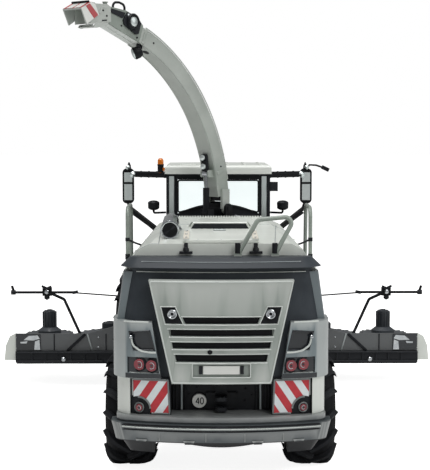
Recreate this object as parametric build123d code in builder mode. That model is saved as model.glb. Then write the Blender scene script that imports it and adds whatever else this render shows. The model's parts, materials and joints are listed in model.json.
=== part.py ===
from build123d import *
import math
import os

# A 1:32 collector's scale model of a self-propelled forage harvester with a rotary maize header.
# Millimetres. +Y is the way it drives, +X its right-hand side, +Z up, and the tyres stand on Z = 0.

os.makedirs("parts", exist_ok=True)

# Stance
WHEELBASE = 102.0
REAR_AXLE_Y = -91.5
FRONT_AXLE_Y = REAR_AXLE_Y + WHEELBASE
FIT = 0.06  # gap between neighbouring fixed panels
RUN = 0.05  # radial gap of a shaft in its bore
SWING_GAP = 0.4  # gap round a leaf or flap that swings

# Wheels: one row per axle
# name, axle y, tyre diameter, tyre width, track, rim diameter, lug pairs, lug thickness, facets round the carcass
WHEELS = [
    ("front", FRONT_AXLE_Y, 66.0, 23.0, 77.6, 36.0, 16, 2.8, 20),
    ("rear", REAR_AXLE_Y, 47.0, 21.0, 74.2, 26.0, 14, 2.6, 18),
]
LUG_HEIGHT = 1.7
LUG_SLANT = 42.0
LUG_CREST = 0.06  # a lug's corners stand out this far so that its flat top reaches the round outline
LUG_SINK = 2.4
SHOULDER_DROP = 6.0
SIDEWALL_INSET = 0.7
CROWN_SHARE = 0.72
HUB_R = 2.0
STUB_LENGTH = 9.0
KINGPIN_X = 28.0
KINGPIN_R = 1.1

# Rear body, measured from the rear axle
BODY_HALF_W = 38.6
BODY_REAR = -41.0
BODY_CORNER = -36.0
BODY_CORNER_R = 8.0
BODY_FRONT = 57.0
PANEL_T = 2.4
BELT_Z = 66.0
SHOULDER_Z = 84.7
SHOULDER_LEAN = 2.6
FENDER_Z = 44.0
ARCH_R = 30.5
ARCH_DEPTH = 24.0
FENDER_T = 3.8
SKIRT_Z = 29.5
BUMPER_FRONT = -31.0  # front of everything below the fenders at the tail


def y_at(from_rear_axle):
    """A place along the machine, from its distance ahead of the rear axle."""
    return REAR_AXLE_Y + from_rear_axle


def save(name, piece):
    piece.label = name
    export_step(piece, f"parts/{name}.step")


def rear_outline(z, grow):
    """Plan outline of the rear body at height z: straight sides, round corners and a slightly bowed tail."""
    half = BODY_HALF_W + grow
    corner = y_at(BODY_CORNER - grow)
    with BuildSketch(Plane.XY.offset(z)) as outline:
        with BuildLine():
            Line((half, y_at(BODY_FRONT)), (half, corner))
            ThreePointArc((half, corner), (0, y_at(BODY_REAR - grow)), (-half, corner))
            Line((-half, corner), (-half, y_at(BODY_FRONT)))
            Line((-half, y_at(BODY_FRONT)), (half, y_at(BODY_FRONT)))
        make_face()
        fillet([v for v in outline.vertices() if v.Y < y_at(0)], radius=BODY_CORNER_R + grow)
    return outline.sketch


def body_block(low, high, grow_low, grow_high, front=BODY_FRONT):
    """Solid of the rear body between two heights, as far ahead as front."""
    with BuildPart(mode=Mode.PRIVATE) as block:
        loft([rear_outline(low, grow_low), rear_outline(high, grow_high)], ruled=True)
        if front < BODY_FRONT:
            with Locations((0, y_at((front + BODY_FRONT) / 2 + 1.0), (low + high) / 2)):
                Box(4 * BODY_HALF_W, BODY_FRONT - front + 2.0, high - low + 2.0, mode=Mode.SUBTRACT)
    return block.part


def body_shell(low, high, inner, outer, lean=0.0, front=BODY_FRONT):
    """Skin of the rear body between two heights, from grow inner to grow outer, leaning in by lean at its top."""
    slope = lean / (high - low)
    with BuildPart(mode=Mode.PRIVATE) as shell:
        add(body_block(low, high, outer, outer - lean, front))
        add(body_block(low - 1.0, high + 1.0, inner + slope, inner - lean - slope), mode=Mode.SUBTRACT)
        with Locations((0, y_at(BODY_FRONT), (low + high) / 2)):
            Box(2 * (BODY_HALF_W - lean), 1.0, high - low + 2.0, mode=Mode.SUBTRACT)
    return shell.part


def rear_slab(points, depth=40.0):
    """Prism along Y over an outline of (x, z) points, from behind the tail to depth ahead of it."""
    with BuildPart(mode=Mode.PRIVATE) as slab:
        with BuildSketch(Plane.XZ.offset(-y_at(BODY_REAR - 20.0))):
            with BuildLine():
                Polyline(*points, close=True)
            make_face()
        extrude(amount=-depth)
    return slab.part


def tube(points, radius, bend):
    """Bent round tube through points."""
    with BuildPart(mode=Mode.PRIVATE) as pipe:
        with BuildLine() as run:
            if len(points) > 2:
                FilletPolyline(*points, radius=bend)
            else:
                Line(*points)
        with BuildSketch(Plane(origin=run.line @ 0, z_dir=run.line % 0)):
            Circle(radius)
        sweep()
    return pipe.part


def mirrored(points):
    return [(-x, z) for x, z in points]


# Wheels
def tyre_face(centre, offset, radius, facets):
    """Regular polygon about the X axis, facing away from centre at an axial offset."""
    facing = -1 if offset < 0 else 1
    with BuildSketch(Plane(origin=(centre[0] + offset, *centre[1:]), x_dir=(0, 1, 0), z_dir=(facing, 0, 0))) as face:
        RegularPolygon(radius, facets)
    return face.sketch


def make_lug(centre, side, width, outer_r, carcass_r, lug_t):
    """One slanted lug over the Z direction, as a blade that follows the crown and drops over the shoulder."""
    slant = math.radians(LUG_SLANT)
    run = (side * math.cos(slant), math.sin(slant), 0)
    length = width / 2 / math.cos(slant)

    def crown(place, below=0.0):
        """Height in the blade's own flat plane that reaches the tyre's round outline."""
        return math.sqrt((outer_r + LUG_CREST - below) ** 2 - (place * math.sin(slant) + lug_t / 2) ** 2)

    with BuildPart(mode=Mode.PRIVATE) as lug:
        with BuildSketch(Plane(origin=centre, x_dir=run, z_dir=(-run[1], run[0], 0))) as blade:
            with BuildLine():
                up = 1 if blade.workplanes[0].y_dir.Z > 0 else -1
                outline = [
                    (-0.06 * length, carcass_r - LUG_SINK),
                    (-0.06 * length, crown(0.06 * length)),
                    (0.66 * length, crown(0.66 * length)),
                    (0.94 * length, crown(0.94 * length, 4.2)),
                    (0.90 * length, carcass_r - SHOULDER_DROP),
                ]
                Polyline(*[(place, up * height) for place, height in outline], close=True)
            make_face()
        extrude(amount=lug_t / 2, both=True)
    return lug.part


def make_tyre(centre, diameter, width, rim_d, lug_pairs, lug_t, facets):
    """Tractor tyre about the X axis through centre: a flat crown, two sloping shoulders and two rows of lugs."""
    outer_r = diameter / 2
    carcass_r = outer_r - LUG_HEIGHT
    half = width / 2 - SIDEWALL_INSET
    crown_half = CROWN_SHARE * half
    bulge_r = rim_d / 2 + (carcass_r - rim_d / 2) * 0.45
    flat_share = math.cos(math.pi / facets)
    slope = math.degrees(math.atan2((carcass_r - bulge_r) * flat_share, half - crown_half))
    axle = Axis(centre, (1, 0, 0))
    lugs = []
    for side in (1, -1):
        lug = make_lug(centre, side, width, outer_r, carcass_r, lug_t)
        first = 0 if side > 0 else 180 / lug_pairs
        lugs += [lug.rotate(axle, first + turn * 360 / lug_pairs) for turn in range(lug_pairs)]
    with BuildPart() as tyre:
        extrude(tyre_face(centre, 0, carcass_r, facets), amount=crown_half, both=True)
        for side in (1, -1):
            extrude(tyre_face(centre, side * crown_half, carcass_r, facets), amount=half - crown_half, taper=slope)
        add(lugs)
        bead = tyre_face(centre, 0, rim_d / 2 / flat_share, facets)
        extrude(bead, amount=width, both=True, mode=Mode.SUBTRACT)
    return tyre.part


def make_rim(centre, side, width, rim_d):
    """Dished wheel rim about the X axis: barrel, disc with hand holes, and a hub bored for the stub axle."""
    barrel_r = rim_d / 2
    out = side * width / 2
    disc_x = side * width * 0.16
    plane = Plane(origin=centre, x_dir=(1, 0, 0), z_dir=(0, -1, 0))
    with BuildPart() as rim:
        with BuildSketch(plane):
            with BuildLine():
                Polyline(
                    (-out * 0.8, barrel_r),
                    (-out * 0.8, barrel_r - 1.0),
                    (disc_x - side * 0.8, barrel_r - 2.0),
                    (disc_x - side * 2.2, HUB_R + 4.2),
                    (disc_x - side * 2.2, HUB_R + RUN),
                    (disc_x + side * 1.6, HUB_R + RUN),
                    (disc_x + side * 1.6, 0),
                    (disc_x + side * 3.2, 0),
                    (disc_x + side * 3.2, HUB_R + 1.8),
                    (disc_x + side * 1.2, HUB_R + 3.4),
                    (disc_x + side * 1.0, barrel_r - 4.0),
                    (out * 0.62, barrel_r - 1.6),
                    (out * 0.8, barrel_r - 1.0),
                    (out * 0.8, barrel_r),
                    close=True,
                )
            make_face()
        revolve(axis=Axis(centre, (1, 0, 0)))
        with Locations(Plane(origin=centre, x_dir=(0, 1, 0), z_dir=(1, 0, 0))):
            with PolarLocations((HUB_R + 3.8 + barrel_r - 2.0) / 2, 8):
                Cylinder(1.0, width, mode=Mode.SUBTRACT)
    return rim.part


for axle_name, axle_y, tyre_d, tyre_w, track, rim_d, lug_pairs, lug_t, facets in WHEELS:
    right_tyre = make_tyre((track / 2, axle_y, tyre_d / 2), tyre_d, tyre_w, rim_d, lug_pairs, lug_t, facets)
    save(f"{axle_name}_tyre_right", right_tyre)
    save(f"{axle_name}_tyre_left", right_tyre.mirror(Plane.YZ))
    for side_name, side in (("left", -1), ("right", 1)):
        save(f"{axle_name}_rim_{side_name}", make_rim((side * track / 2, axle_y, tyre_d / 2), side, tyre_w, rim_d))

FRONT_R = WHEELS[0][2] / 2
REAR_R = WHEELS[1][2] / 2
FRONT_HUB_X = WHEELS[0][4] / 2
REAR_HUB_X = WHEELS[1][4] / 2
FRONT_INNER_X = FRONT_HUB_X - WHEELS[0][3] / 2
FRONT_BORE_END = FRONT_HUB_X + WHEELS[0][3] * 0.16 + 1.6 - 0.3
REAR_BORE_END = REAR_HUB_X + WHEELS[1][3] * 0.16 + 1.6 - 0.3

# Chassis: two rails, cross members, tank and tool boxes between the wheels, and the tow hitch
RAIL_X = 12.0
RAIL_W = 4.0
RAIL_LOW = 26.4
RAIL_HIGH = 36.0
RAIL_FRONT = 84.0
RAIL_REAR = -30.9
BOX_Y = (36.0, 63.0)
BOX_X = (RAIL_X + 2.0, BODY_HALF_W - 0.8)
BOX_Z = (26.0, 43.9)

with BuildPart() as chassis:
    rail_len = RAIL_FRONT - RAIL_REAR
    rail_mid = y_at((RAIL_FRONT + RAIL_REAR) / 2)
    with Locations((RAIL_X, rail_mid, (RAIL_LOW + RAIL_HIGH) / 2), (-RAIL_X, rail_mid, (RAIL_LOW + RAIL_HIGH) / 2)):
        Box(RAIL_W, rail_len, RAIL_HIGH - RAIL_LOW)
    for cross_y in (-28.0, 0.0, 30.0, 70.0):
        with Locations((0, y_at(cross_y), (RAIL_LOW + RAIL_HIGH) / 2)):
            Box(RAIL_X * 2, 5.0, RAIL_HIGH - RAIL_LOW - 2.0)
    for side in (1, -1):
        with Locations((side * sum(BOX_X) / 2, y_at(sum(BOX_Y) / 2), sum(BOX_Z) / 2)):
            Box(BOX_X[1] - BOX_X[0], BOX_Y[1] - BOX_Y[0], BOX_Z[1] - BOX_Z[0])
    long_edges = chassis.edges().filter_by(Axis.Y).group_by(Axis.X)
    fillet(long_edges[0] + long_edges[-1], radius=4.0)
save("chassis", chassis.part)

# Axles: the driven front housing with its final drives, and the oscillating steered rear beam
FINAL_DRIVE_R = 11.0
REAR_BEAM_X = 24.6
FORK_GAP = 8.0
with BuildPart() as axles:
    front_axis = Plane(origin=(0, FRONT_AXLE_Y, FRONT_R), x_dir=(0, 1, 0), z_dir=(1, 0, 0))
    with Locations(front_axis):
        Cylinder(6.0, FRONT_INNER_X * 2 - 3.0)
        Cylinder(HUB_R, FRONT_BORE_END * 2)
    for side in (1, -1):
        with Locations(front_axis.offset(side * (FRONT_INNER_X - 3.2))):
            Cylinder(FINAL_DRIVE_R, 4.4)
    with Locations((0, FRONT_AXLE_Y - 7.0, FRONT_R)):
        Box(30.0, 12.0, 12.0)
save("front_axle", axles.part)

with BuildPart() as rear_axle:
    with BuildSketch(Plane.XZ.offset(-REAR_AXLE_Y)):
        with BuildLine():
            Polyline(
                (-REAR_BEAM_X, REAR_R - 3.0),
                (-8.0, REAR_R - 5.0),
                (8.0, REAR_R - 5.0),
                (REAR_BEAM_X, REAR_R - 3.0),
                (REAR_BEAM_X, REAR_R + 2.2),
                (9.0, RAIL_LOW - FIT),
                (-9.0, RAIL_LOW - FIT),
                (-REAR_BEAM_X, REAR_R + 2.2),
                close=True,
            )
        make_face()
    extrude(amount=3.6, both=True)
    for side in (1, -1):
        for fork_z in (REAR_R + FORK_GAP / 2 + 0.8, REAR_R - FORK_GAP / 2 - 0.8):
            with Locations((side * (KINGPIN_X - 1.4), REAR_AXLE_Y, fork_z)):
                Box(8.0, 4.8, 1.6)
        with Locations((side * (REAR_BEAM_X - 1.0), REAR_AXLE_Y, REAR_R)):
            Box(2.8, 4.8, FORK_GAP + 3.2)
        with Locations((side * KINGPIN_X, REAR_AXLE_Y, REAR_R)):
            Cylinder(KINGPIN_R + RUN, FORK_GAP + 6.0, mode=Mode.SUBTRACT)
save("rear_axle", rear_axle.part)

for side_name, side in (("left", -1), ("right", 1)):
    with BuildPart() as knuckle:
        with Locations((side * KINGPIN_X, REAR_AXLE_Y, REAR_R)):
            Cylinder(2.4, FORK_GAP - 0.6)
            Cylinder(KINGPIN_R, FORK_GAP + 3.0)
        stub = REAR_BORE_END - KINGPIN_X
        with Locations(Plane(origin=(side * (KINGPIN_X + stub / 2), REAR_AXLE_Y, REAR_R), z_dir=(1, 0, 0))):
            Cylinder(HUB_R, stub)
    save(f"knuckle_{side_name}", knuckle.part)

# Engine housing: the dark core that the painted panels sit on, with the wheel arches cut out
LIP_TOP = 90.4
HOOD_REAR = -27.0
# Courses of the glossy shelf behind the hood: bottom z, top z, grow at the bottom, grow at the top
LIP_COURSES = [(SHOULDER_Z - 1.3, 86.8, -SHOULDER_LEAN, -SHOULDER_LEAN), (86.8, LIP_TOP, 0.8, -3.0)]
with BuildPart() as engine_housing:
    add(body_block(FENDER_Z, BELT_Z, 0, 0))
    add(body_block(BELT_Z, SHOULDER_Z, 0, -SHOULDER_LEAN))
    for low, high, grow_low, grow_high in LIP_COURSES:
        add(body_block(low, high, grow_low, grow_high, front=HOOD_REAR - FIT))
    for side in (1, -1):
        with Locations(
            Plane(origin=(side * (BODY_HALF_W + 4 - ARCH_DEPTH / 2), REAR_AXLE_Y, REAR_R), z_dir=(1, 0, 0))
        ):
            Cylinder(ARCH_R, ARCH_DEPTH, mode=Mode.SUBTRACT)
    with Locations((0, y_at(2.6), (RAIL_HIGH + FIT + FENDER_Z) / 2)):
        Box(RAIL_X * 2 + RAIL_W, 66.0, FENDER_Z - RAIL_HIGH - FIT)
save("engine_housing", engine_housing.part)

# Light painted side panels, with intake louvres, and the corner strips below the fenders
LOUVRE_COUNT = 5
FENDER_FRONT = -21.0
# Where the side panels give way to the tail: front of the cut, its bottom and its top
PANEL_CUTS = [
    (-33.0, 20.0, 100.0),
    (FENDER_FRONT + FIT, 20.0, BELT_Z + FIT),
]
STRIP_INNER = 35.5
with BuildPart() as corner_strips:
    add(body_shell(SKIRT_Z, FENDER_Z - FIT, 1.0 + FIT, PANEL_T, front=BUMPER_FRONT))
    with Locations((0, y_at(-40.0), 37.0)):
        Box(2 * STRIP_INNER, 40.0, 40.0, mode=Mode.SUBTRACT)

with BuildPart() as side_panels:
    add(body_shell(BELT_Z + FIT, SHOULDER_Z, FIT, PANEL_T, SHOULDER_LEAN))
    add(body_shell(FENDER_Z, BELT_Z + FIT, FIT, PANEL_T))
    for cut_front, cut_low, cut_high in PANEL_CUTS:
        with Locations((0, y_at(cut_front - 20.0), (cut_low + cut_high) / 2)):
            Box(100.0, 40.0, cut_high - cut_low, mode=Mode.SUBTRACT)
    for side in (1, -1):
        with Locations(
            Plane(origin=(side * (BODY_HALF_W + 4 - ARCH_DEPTH / 2), REAR_AXLE_Y, REAR_R), z_dir=(1, 0, 0))
        ):
            Cylinder(ARCH_R + FENDER_T + FIT, ARCH_DEPTH, mode=Mode.SUBTRACT)
        for row in range(LOUVRE_COUNT):
            with Locations((side * (BODY_HALF_W + 1.6), y_at(38.0), 70.0 + row * 2.8)):
                Box(3.0, 26.0, 1.2, mode=Mode.SUBTRACT)
    add(corner_strips.part)
save("side_panels", side_panels.part)

# Rear fenders: a bulged band round each tail corner and over the wheel
FENDER_INNER_TOP = 27.6
FENDER_INNER_LOW = 22.6
LAMP_PANEL_SUNK = 0.8
# Insets of each fender: outline as (x, z), from z, up to z, depth
FENDER_INSETS = [
    ([(25.4, 54.9), (34.2, 54.9), (36.0, 62.4), (27.4, 63.1)], 54.9, 63.1, 1.4),
    ([(24.0, 46.2), (36.4, 46.2), (36.4, 52.4), (24.9, 52.4)], 46.2, 52.4, LAMP_PANEL_SUNK),
]
with BuildPart() as arch_bands:
    for side in (1, -1):
        with Locations(
            Plane(origin=(side * (BODY_HALF_W + FENDER_T / 2 + FIT), REAR_AXLE_Y, REAR_R), z_dir=(1, 0, 0))
        ):
            Cylinder(ARCH_R + FENDER_T, FENDER_T)
            Cylinder(ARCH_R, FENDER_T, mode=Mode.SUBTRACT)
    with Locations((0, y_at(0), (FENDER_Z + FIT) / 2 - 25.0)):
        Box(120.0, 100.0, FENDER_Z + FIT + 50.0, mode=Mode.SUBTRACT)

with BuildPart() as rear_fenders:
    add(body_shell(FENDER_Z, BELT_Z, FIT, FENDER_T))
    with Locations((0, y_at(FENDER_FRONT + 60.0), 55.0)):
        Box(100.0, 120.0, 40.0, mode=Mode.SUBTRACT)
    add(arch_bands.part)
    add(
        rear_slab(
            [
                (-FENDER_INNER_LOW, FENDER_Z - 5),
                (FENDER_INNER_LOW, FENDER_Z - 5),
                (FENDER_INNER_TOP, BELT_Z + 5),
                (-FENDER_INNER_TOP, BELT_Z + 5),
            ]
        ),
        mode=Mode.SUBTRACT,
    )
    for outline, low, high, sunk in FENDER_INSETS:
        for points in (outline, mirrored(outline)):
            with BuildPart(mode=Mode.PRIVATE) as inset:
                add(body_shell(low, high, FENDER_T - sunk, FENDER_T + 1.0))
                add(rear_slab(points), mode=Mode.INTERSECT)
            add(inset.part, mode=Mode.SUBTRACT)
save("rear_fenders", rear_fenders.part)

# Rear grille: the light trapezoid tailgate with its slots and lamp pockets
GRILLE_T = 4.6
GRILLE_TOP = (28.0, 82.4)
GRILLE_LOW = (19.2, 42.4)
PLATE_BED_Z = (45.2, 50.2)
PLATE_BED_HALF = 11.0
PLATE_SUNK = 1.0
PLATE_HALF = 7.0
LAMP_POCKET = [(-23.1, 72.2), (-17.8, 72.2), (-14.8, 65.8), (-21.5, 65.8)]
# top z, bottom z, half width at top, half width at bottom
GRILLE_SLOTS = [
    (68.3, 65.7, 15.0, 13.9),
    (63.5, 60.9, 20.4, 19.8),
    (58.6, 56.1, 19.2, 18.7),
    (53.8, 50.9, 18.0, 17.3),
]
with BuildPart() as rear_grille:
    add(body_shell(GRILLE_LOW[1], GRILLE_TOP[1], FIT, GRILLE_T, 0.0))
    add(
        rear_slab(
            [
                (-GRILLE_LOW[0], GRILLE_LOW[1]),
                (GRILLE_LOW[0], GRILLE_LOW[1]),
                GRILLE_TOP,
                (-GRILLE_TOP[0], GRILLE_TOP[1]),
            ]
        ),
        mode=Mode.INTERSECT,
    )
    for z_top, z_low, half_top, half_low in GRILLE_SLOTS:
        add(
            rear_slab([(-half_low, z_low), (half_low, z_low), (half_top, z_top), (-half_top, z_top)], 18.2),
            mode=Mode.SUBTRACT,
        )
    for pocket in (LAMP_POCKET, mirrored(LAMP_POCKET)):
        add(rear_slab(pocket, 18.2), mode=Mode.SUBTRACT)
    with BuildPart(mode=Mode.PRIVATE) as plate_bed:
        add(body_shell(PLATE_BED_Z[0], PLATE_BED_Z[1], GRILLE_T - PLATE_SUNK, GRILLE_T + 1.0))
        with Locations((0, y_at(BODY_REAR), sum(PLATE_BED_Z) / 2)):
            Box(2 * PLATE_BED_HALF, 20.0, 8.0, mode=Mode.INTERSECT)
    add(plate_bed.part, mode=Mode.SUBTRACT)
save("rear_grille", rear_grille.part)

# Lower tail: corner modules, recess for the hitch, and the bowed bumper
RECESS_HALF = 19.6
with BuildPart() as tail_frame:
    add(body_block(SKIRT_Z, FENDER_Z - FIT, 1.0, 1.0, front=BUMPER_FRONT))
    with Locations((0, y_at(-40.0), (SKIRT_Z + FENDER_Z) / 2)):
        Box(RECESS_HALF * 2, 16.0, FENDER_Z - SKIRT_Z, mode=Mode.SUBTRACT)
save("tail_frame", tail_frame.part)


def bumper_outline(z, grow):
    """Plan outline of the bumper at height z, bowed further back than the body above it."""
    half = BUMPER_HALF + grow
    with BuildSketch(Plane.XY.offset(z)) as outline:
        with BuildLine():
            Line((half, y_at(BUMPER_FRONT)), (half, y_at(BUMPER_CORNER - grow)))
            ThreePointArc(
                (half, y_at(BUMPER_CORNER - grow)),
                (0, y_at(BUMPER_REAR - grow)),
                (-half, y_at(BUMPER_CORNER - grow)),
            )
            Line((-half, y_at(BUMPER_CORNER - grow)), (-half, y_at(BUMPER_FRONT)))
            Line((-half, y_at(BUMPER_FRONT)), (half, y_at(BUMPER_FRONT)))
        make_face()
        tail_corners = [v for v in outline.vertices() if v.Y < y_at(BUMPER_FRONT - 1.0)]
        fillet(tail_corners, radius=BUMPER_R + 0.8 * min(grow, 0))
    return outline.sketch


# Bumper courses, from the ground up: bottom z, top z, grow at the bottom, grow at the top
BUMPER_HALF = 41.0
BUMPER_REAR = -47.0
BUMPER_CORNER = -39.5
BUMPER_R = 6.0
BUMPER_COURSES = [(14.0, 19.6, -5.0, -1.6), (19.6, 26.8, 0.4, 2.0), (26.8, 27.6, -0.6, -0.6), (27.6, 29.44, 0.0, 0.0)]
with BuildPart() as rear_bumper:
    for low, high, grow_low, grow_high in BUMPER_COURSES:
        loft([bumper_outline(low, grow_low), bumper_outline(high, grow_high)], ruled=True)
    with Locations((0, y_at(-36.0), 16.0)):
        Box(52.0, 16.0, 12.0, mode=Mode.SUBTRACT)
save("rear_bumper", rear_bumper.part)

# Tow hitch: two ears on an upright carriage, with a bore for the drawbar pin and room above to drop it in
HITCH_R = 1.0
HITCH_LOW = 30.3
HITCH_EAR = 1.4
HITCH_JAW = 2.6
HITCH_W = 4.6
HITCH_WALL = -32.0
HITCH_REACH = -39.0
HITCH_TOP = HITCH_LOW + 2 * HITCH_EAR + HITCH_JAW
with BuildPart() as tow_hitch:
    for ear_z in (HITCH_LOW, HITCH_LOW + HITCH_EAR + HITCH_JAW):
        with BuildSketch(Plane.XY.offset(ear_z)):
            with Locations((0, y_at((HITCH_REACH + HITCH_WALL - 2 * FIT) / 2))):
                RectangleRounded(HITCH_W, HITCH_WALL - 2 * FIT - HITCH_REACH, 1.6)
        extrude(amount=HITCH_EAR)
    for rail_w, rail_top in ((HITCH_W, FENDER_Z - 0.6), (2.6 * HITCH_W, HITCH_TOP + 1.0)):
        with Locations((0, y_at(HITCH_WALL - 2 * FIT - 0.7), (HITCH_LOW + rail_top) / 2)):
            Box(rail_w, 1.4, rail_top - HITCH_LOW)
    with Locations((0, y_at(HITCH_REACH + 2.6), (HITCH_LOW + HITCH_TOP) / 2)):
        Cylinder(HITCH_R, HITCH_TOP - HITCH_LOW, mode=Mode.SUBTRACT)
save("tow_hitch", tow_hitch.part)

BOARD = [(20.4, 30.3), (34.2, 30.3), (34.2, 42.8), (21.0, 42.8)]
with BuildPart() as board_cut:
    add(rear_slab(BOARD))
    add(rear_slab(mirrored(BOARD)))
    for side in (1, -1):
        with Locations(Plane(origin=(side * 32.4, y_at(-45.0), 31.6), z_dir=(0, 1, 0))):
            Cylinder(5.0, 30.0, mode=Mode.SUBTRACT)

with BuildPart() as warning_boards:
    add(body_shell(30.3, 42.8, 1.0 + FIT, 1.6))
    add(board_cut.part, mode=Mode.INTERSECT)
save("warning_boards", warning_boards.part)

# Tail lamps: two round reds in each fender and one fog lamp in each corner: x, z, radius, grow of the face
LAMP_FACE = FENDER_T - LAMP_PANEL_SUNK
TAIL_LAMPS = [(31.7, 49.6, 2.15, LAMP_FACE), (27.0, 49.2, 2.15, LAMP_FACE), (32.0, 32.2, 1.3, 1.0)]


def lamp_lens(lamp_x, lamp_z, lamp_r, grow):
    """Round lens that follows the tail's skin."""
    with BuildPart(mode=Mode.PRIVATE) as lens:
        add(body_shell(lamp_z - 3, lamp_z + 3, grow + FIT, grow + 1.2))
        with Locations(Plane(origin=(lamp_x, y_at(-45.0), lamp_z), z_dir=(0, 1, 0))):
            Cylinder(lamp_r, 40.0, mode=Mode.INTERSECT)
    return lens.part


with BuildPart() as tail_lamps:
    for lamp_x, lamp_z, lamp_r, grow in TAIL_LAMPS:
        for side in (1, -1):
            add(lamp_lens(side * lamp_x, lamp_z, lamp_r, grow))
save("tail_lamps", tail_lamps.part)

with BuildPart() as number_plate:
    add(body_shell(46.2, 49.4, GRILLE_T - PLATE_SUNK + FIT, GRILLE_T - PLATE_SUNK + 0.6))
    with Locations((0, y_at(BODY_REAR), 47.8)):
        Box(2 * PLATE_HALF, 20.0, 6.0, mode=Mode.INTERSECT)
save("number_plate", number_plate.part)

# Hipped top hood behind the spout, with its hinged service flap
EXHAUST = (-20.5, 12.0)
EXHAUST_R = 3.1
HOOD_FRONT = 56.0
HOOD_BASE = SHOULDER_Z + FIT
HOOD_BASE_HALF = BODY_HALF_W + PANEL_T - SHOULDER_LEAN - 0.6
# y from the rear axle, then half width and z at the waist and at the ridge
HOOD_SECTIONS = [(HOOD_REAR, (32.6, 92.6), (28.0, 95.0)), (HOOD_FRONT, (27.4, 97.0), (20.0, 100.0))]
HOOD_RISE = HOOD_SECTIONS[1][2][1] - HOOD_SECTIONS[0][2][1]
HOOD_PITCH = math.degrees(math.atan2(HOOD_RISE, HOOD_FRONT - HOOD_REAR))
FLAP_T = 0.9
FLAP_W = 30.0
FLAP_L = 43.0
STRAP_W = 2.4
STRAP_L = 22.0
SCOOP_W = 21.0
hood_top = Plane(
    origin=(0, y_at(HOOD_REAR), HOOD_SECTIONS[0][2][1]),
    x_dir=(1, 0, 0),
    z_dir=(0, -math.sin(math.radians(HOOD_PITCH)), math.cos(math.radians(HOOD_PITCH))),
)
with BuildPart() as top_hood:
    for section_y, waist, ridge in HOOD_SECTIONS:
        half_outline = [(HOOD_BASE_HALF, HOOD_BASE), waist, ridge]
        with BuildSketch(Plane.XZ.offset(-y_at(section_y))):
            with BuildLine():
                Polyline(*half_outline, *mirrored(half_outline)[::-1], close=True)
            make_face()
    loft(ruled=True)
    with Locations((EXHAUST[0], y_at(EXHAUST[1]), SHOULDER_Z + 6.0)):
        Cylinder(EXHAUST_R + 0.2, 40.0, mode=Mode.SUBTRACT)
    with BuildSketch(hood_top.offset(0.6)):
        with Locations((0, 1.0 + FLAP_L + 6.4)):
            SlotOverall(SCOOP_W, 7.0)
    extrude(amount=-2.2, mode=Mode.SUBTRACT)
save("top_hood", top_hood.part)

with BuildPart() as hood_flap:
    with BuildSketch(hood_top.offset(0.3)):
        with Locations((0, 1.0 + FLAP_L / 2)):
            RectangleRounded(FLAP_W, FLAP_L, 2.0)
    extrude(amount=FLAP_T)
    with BuildSketch(hood_top.offset(0.3 + FLAP_T)):
        with Locations((STRAP_W / 2 - FLAP_W / 2, 1.0 + STRAP_L / 2), (FLAP_W / 2 - STRAP_W / 2, 1.0 + STRAP_L / 2)):
            Rectangle(STRAP_W, STRAP_L)
    extrude(amount=0.7)
save("hood_flap", hood_flap.part)

# Exhaust stack with its mitred tip
with BuildPart() as exhaust:
    with Locations((EXHAUST[0], y_at(EXHAUST[1]), (SHOULDER_Z + 0.1 + 103.0) / 2)):
        Cylinder(EXHAUST_R, 103.0 - SHOULDER_Z - 0.1)
    with Locations((EXHAUST[0], y_at(EXHAUST[1]), 98.6)):
        Cylinder(EXHAUST_R + 0.7, 1.0)
    with Locations(Plane(origin=(EXHAUST[0], y_at(EXHAUST[1]), 101.6), z_dir=(0, -0.5, 1))):
        Box(20.0, 20.0, 8.0, align=(Align.CENTER, Align.CENTER, Align.MIN), mode=Mode.SUBTRACT)
    with Locations((EXHAUST[0], y_at(EXHAUST[1]), 100.0)):
        Cylinder(EXHAUST_R - 0.7, 12.0, mode=Mode.SUBTRACT)
    with Locations((EXHAUST[0], y_at(EXHAUST[1]), 97.0)):
        Cylinder(EXHAUST_R * 0.5, 7.0)
        Cylinder(EXHAUST_R * 0.3, 8.0, mode=Mode.SUBTRACT)
save("exhaust", exhaust.part)

# Handrails: a hoop on the hood, and one along each side of the deck
RAIL_R = 0.9
HOOP_Y = -30.0
HOOP_LEAN = 2.0  # the hoop stays behind the flap's edge as the flap swings up
DECK_Z = 67.6
DECK_HALF_W = BODY_HALF_W + 8.4
SIDE_RAIL_X = BODY_HALF_W + PANEL_T + 0.4


def panel_x(z):
    """Outer face of the leaning side panel at height z."""
    return BODY_HALF_W + PANEL_T - SHOULDER_LEAN * (z - BELT_Z) / (SHOULDER_Z - BELT_Z)


with BuildPart() as handrails:
    top_y = HOOP_Y + HOOP_LEAN
    hoop = [(6.6, HOOP_Y, 91.0), (14.6, top_y, 104.6), (29.6, top_y, 106.0), (21.2, HOOP_Y, 91.0)]
    add(tube([(x, y_at(y), z) for x, y, z in hoop], RAIL_R, 2.4))
    for foot_x in (6.6, 21.2):
        with Locations((foot_x, y_at(HOOP_Y), LIP_TOP + FIT + 0.5)):
            Box(3.0, 3.0, 1.0)
    for side in (1, -1):
        post = [(46.0, 80.0), (47.0, 104.6), (74.0, 104.6), (78.0, 69.8)]
        add(tube([(side * SIDE_RAIL_X, y_at(y), z) for y, z in post], RAIL_R, 5.0))
        foot_w = SIDE_RAIL_X - panel_x(78.8) - FIT
        with Locations((side * (SIDE_RAIL_X - foot_w / 2), y_at(46.0), 80.0)):
            Box(foot_w, 3.0, 1.6)
        with Locations((side * SIDE_RAIL_X, y_at(78.0), DECK_Z + 1.6 + FIT + 0.4)):
            Box(3.0, 3.0, 0.8)
save("handrails", handrails.part)

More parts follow.
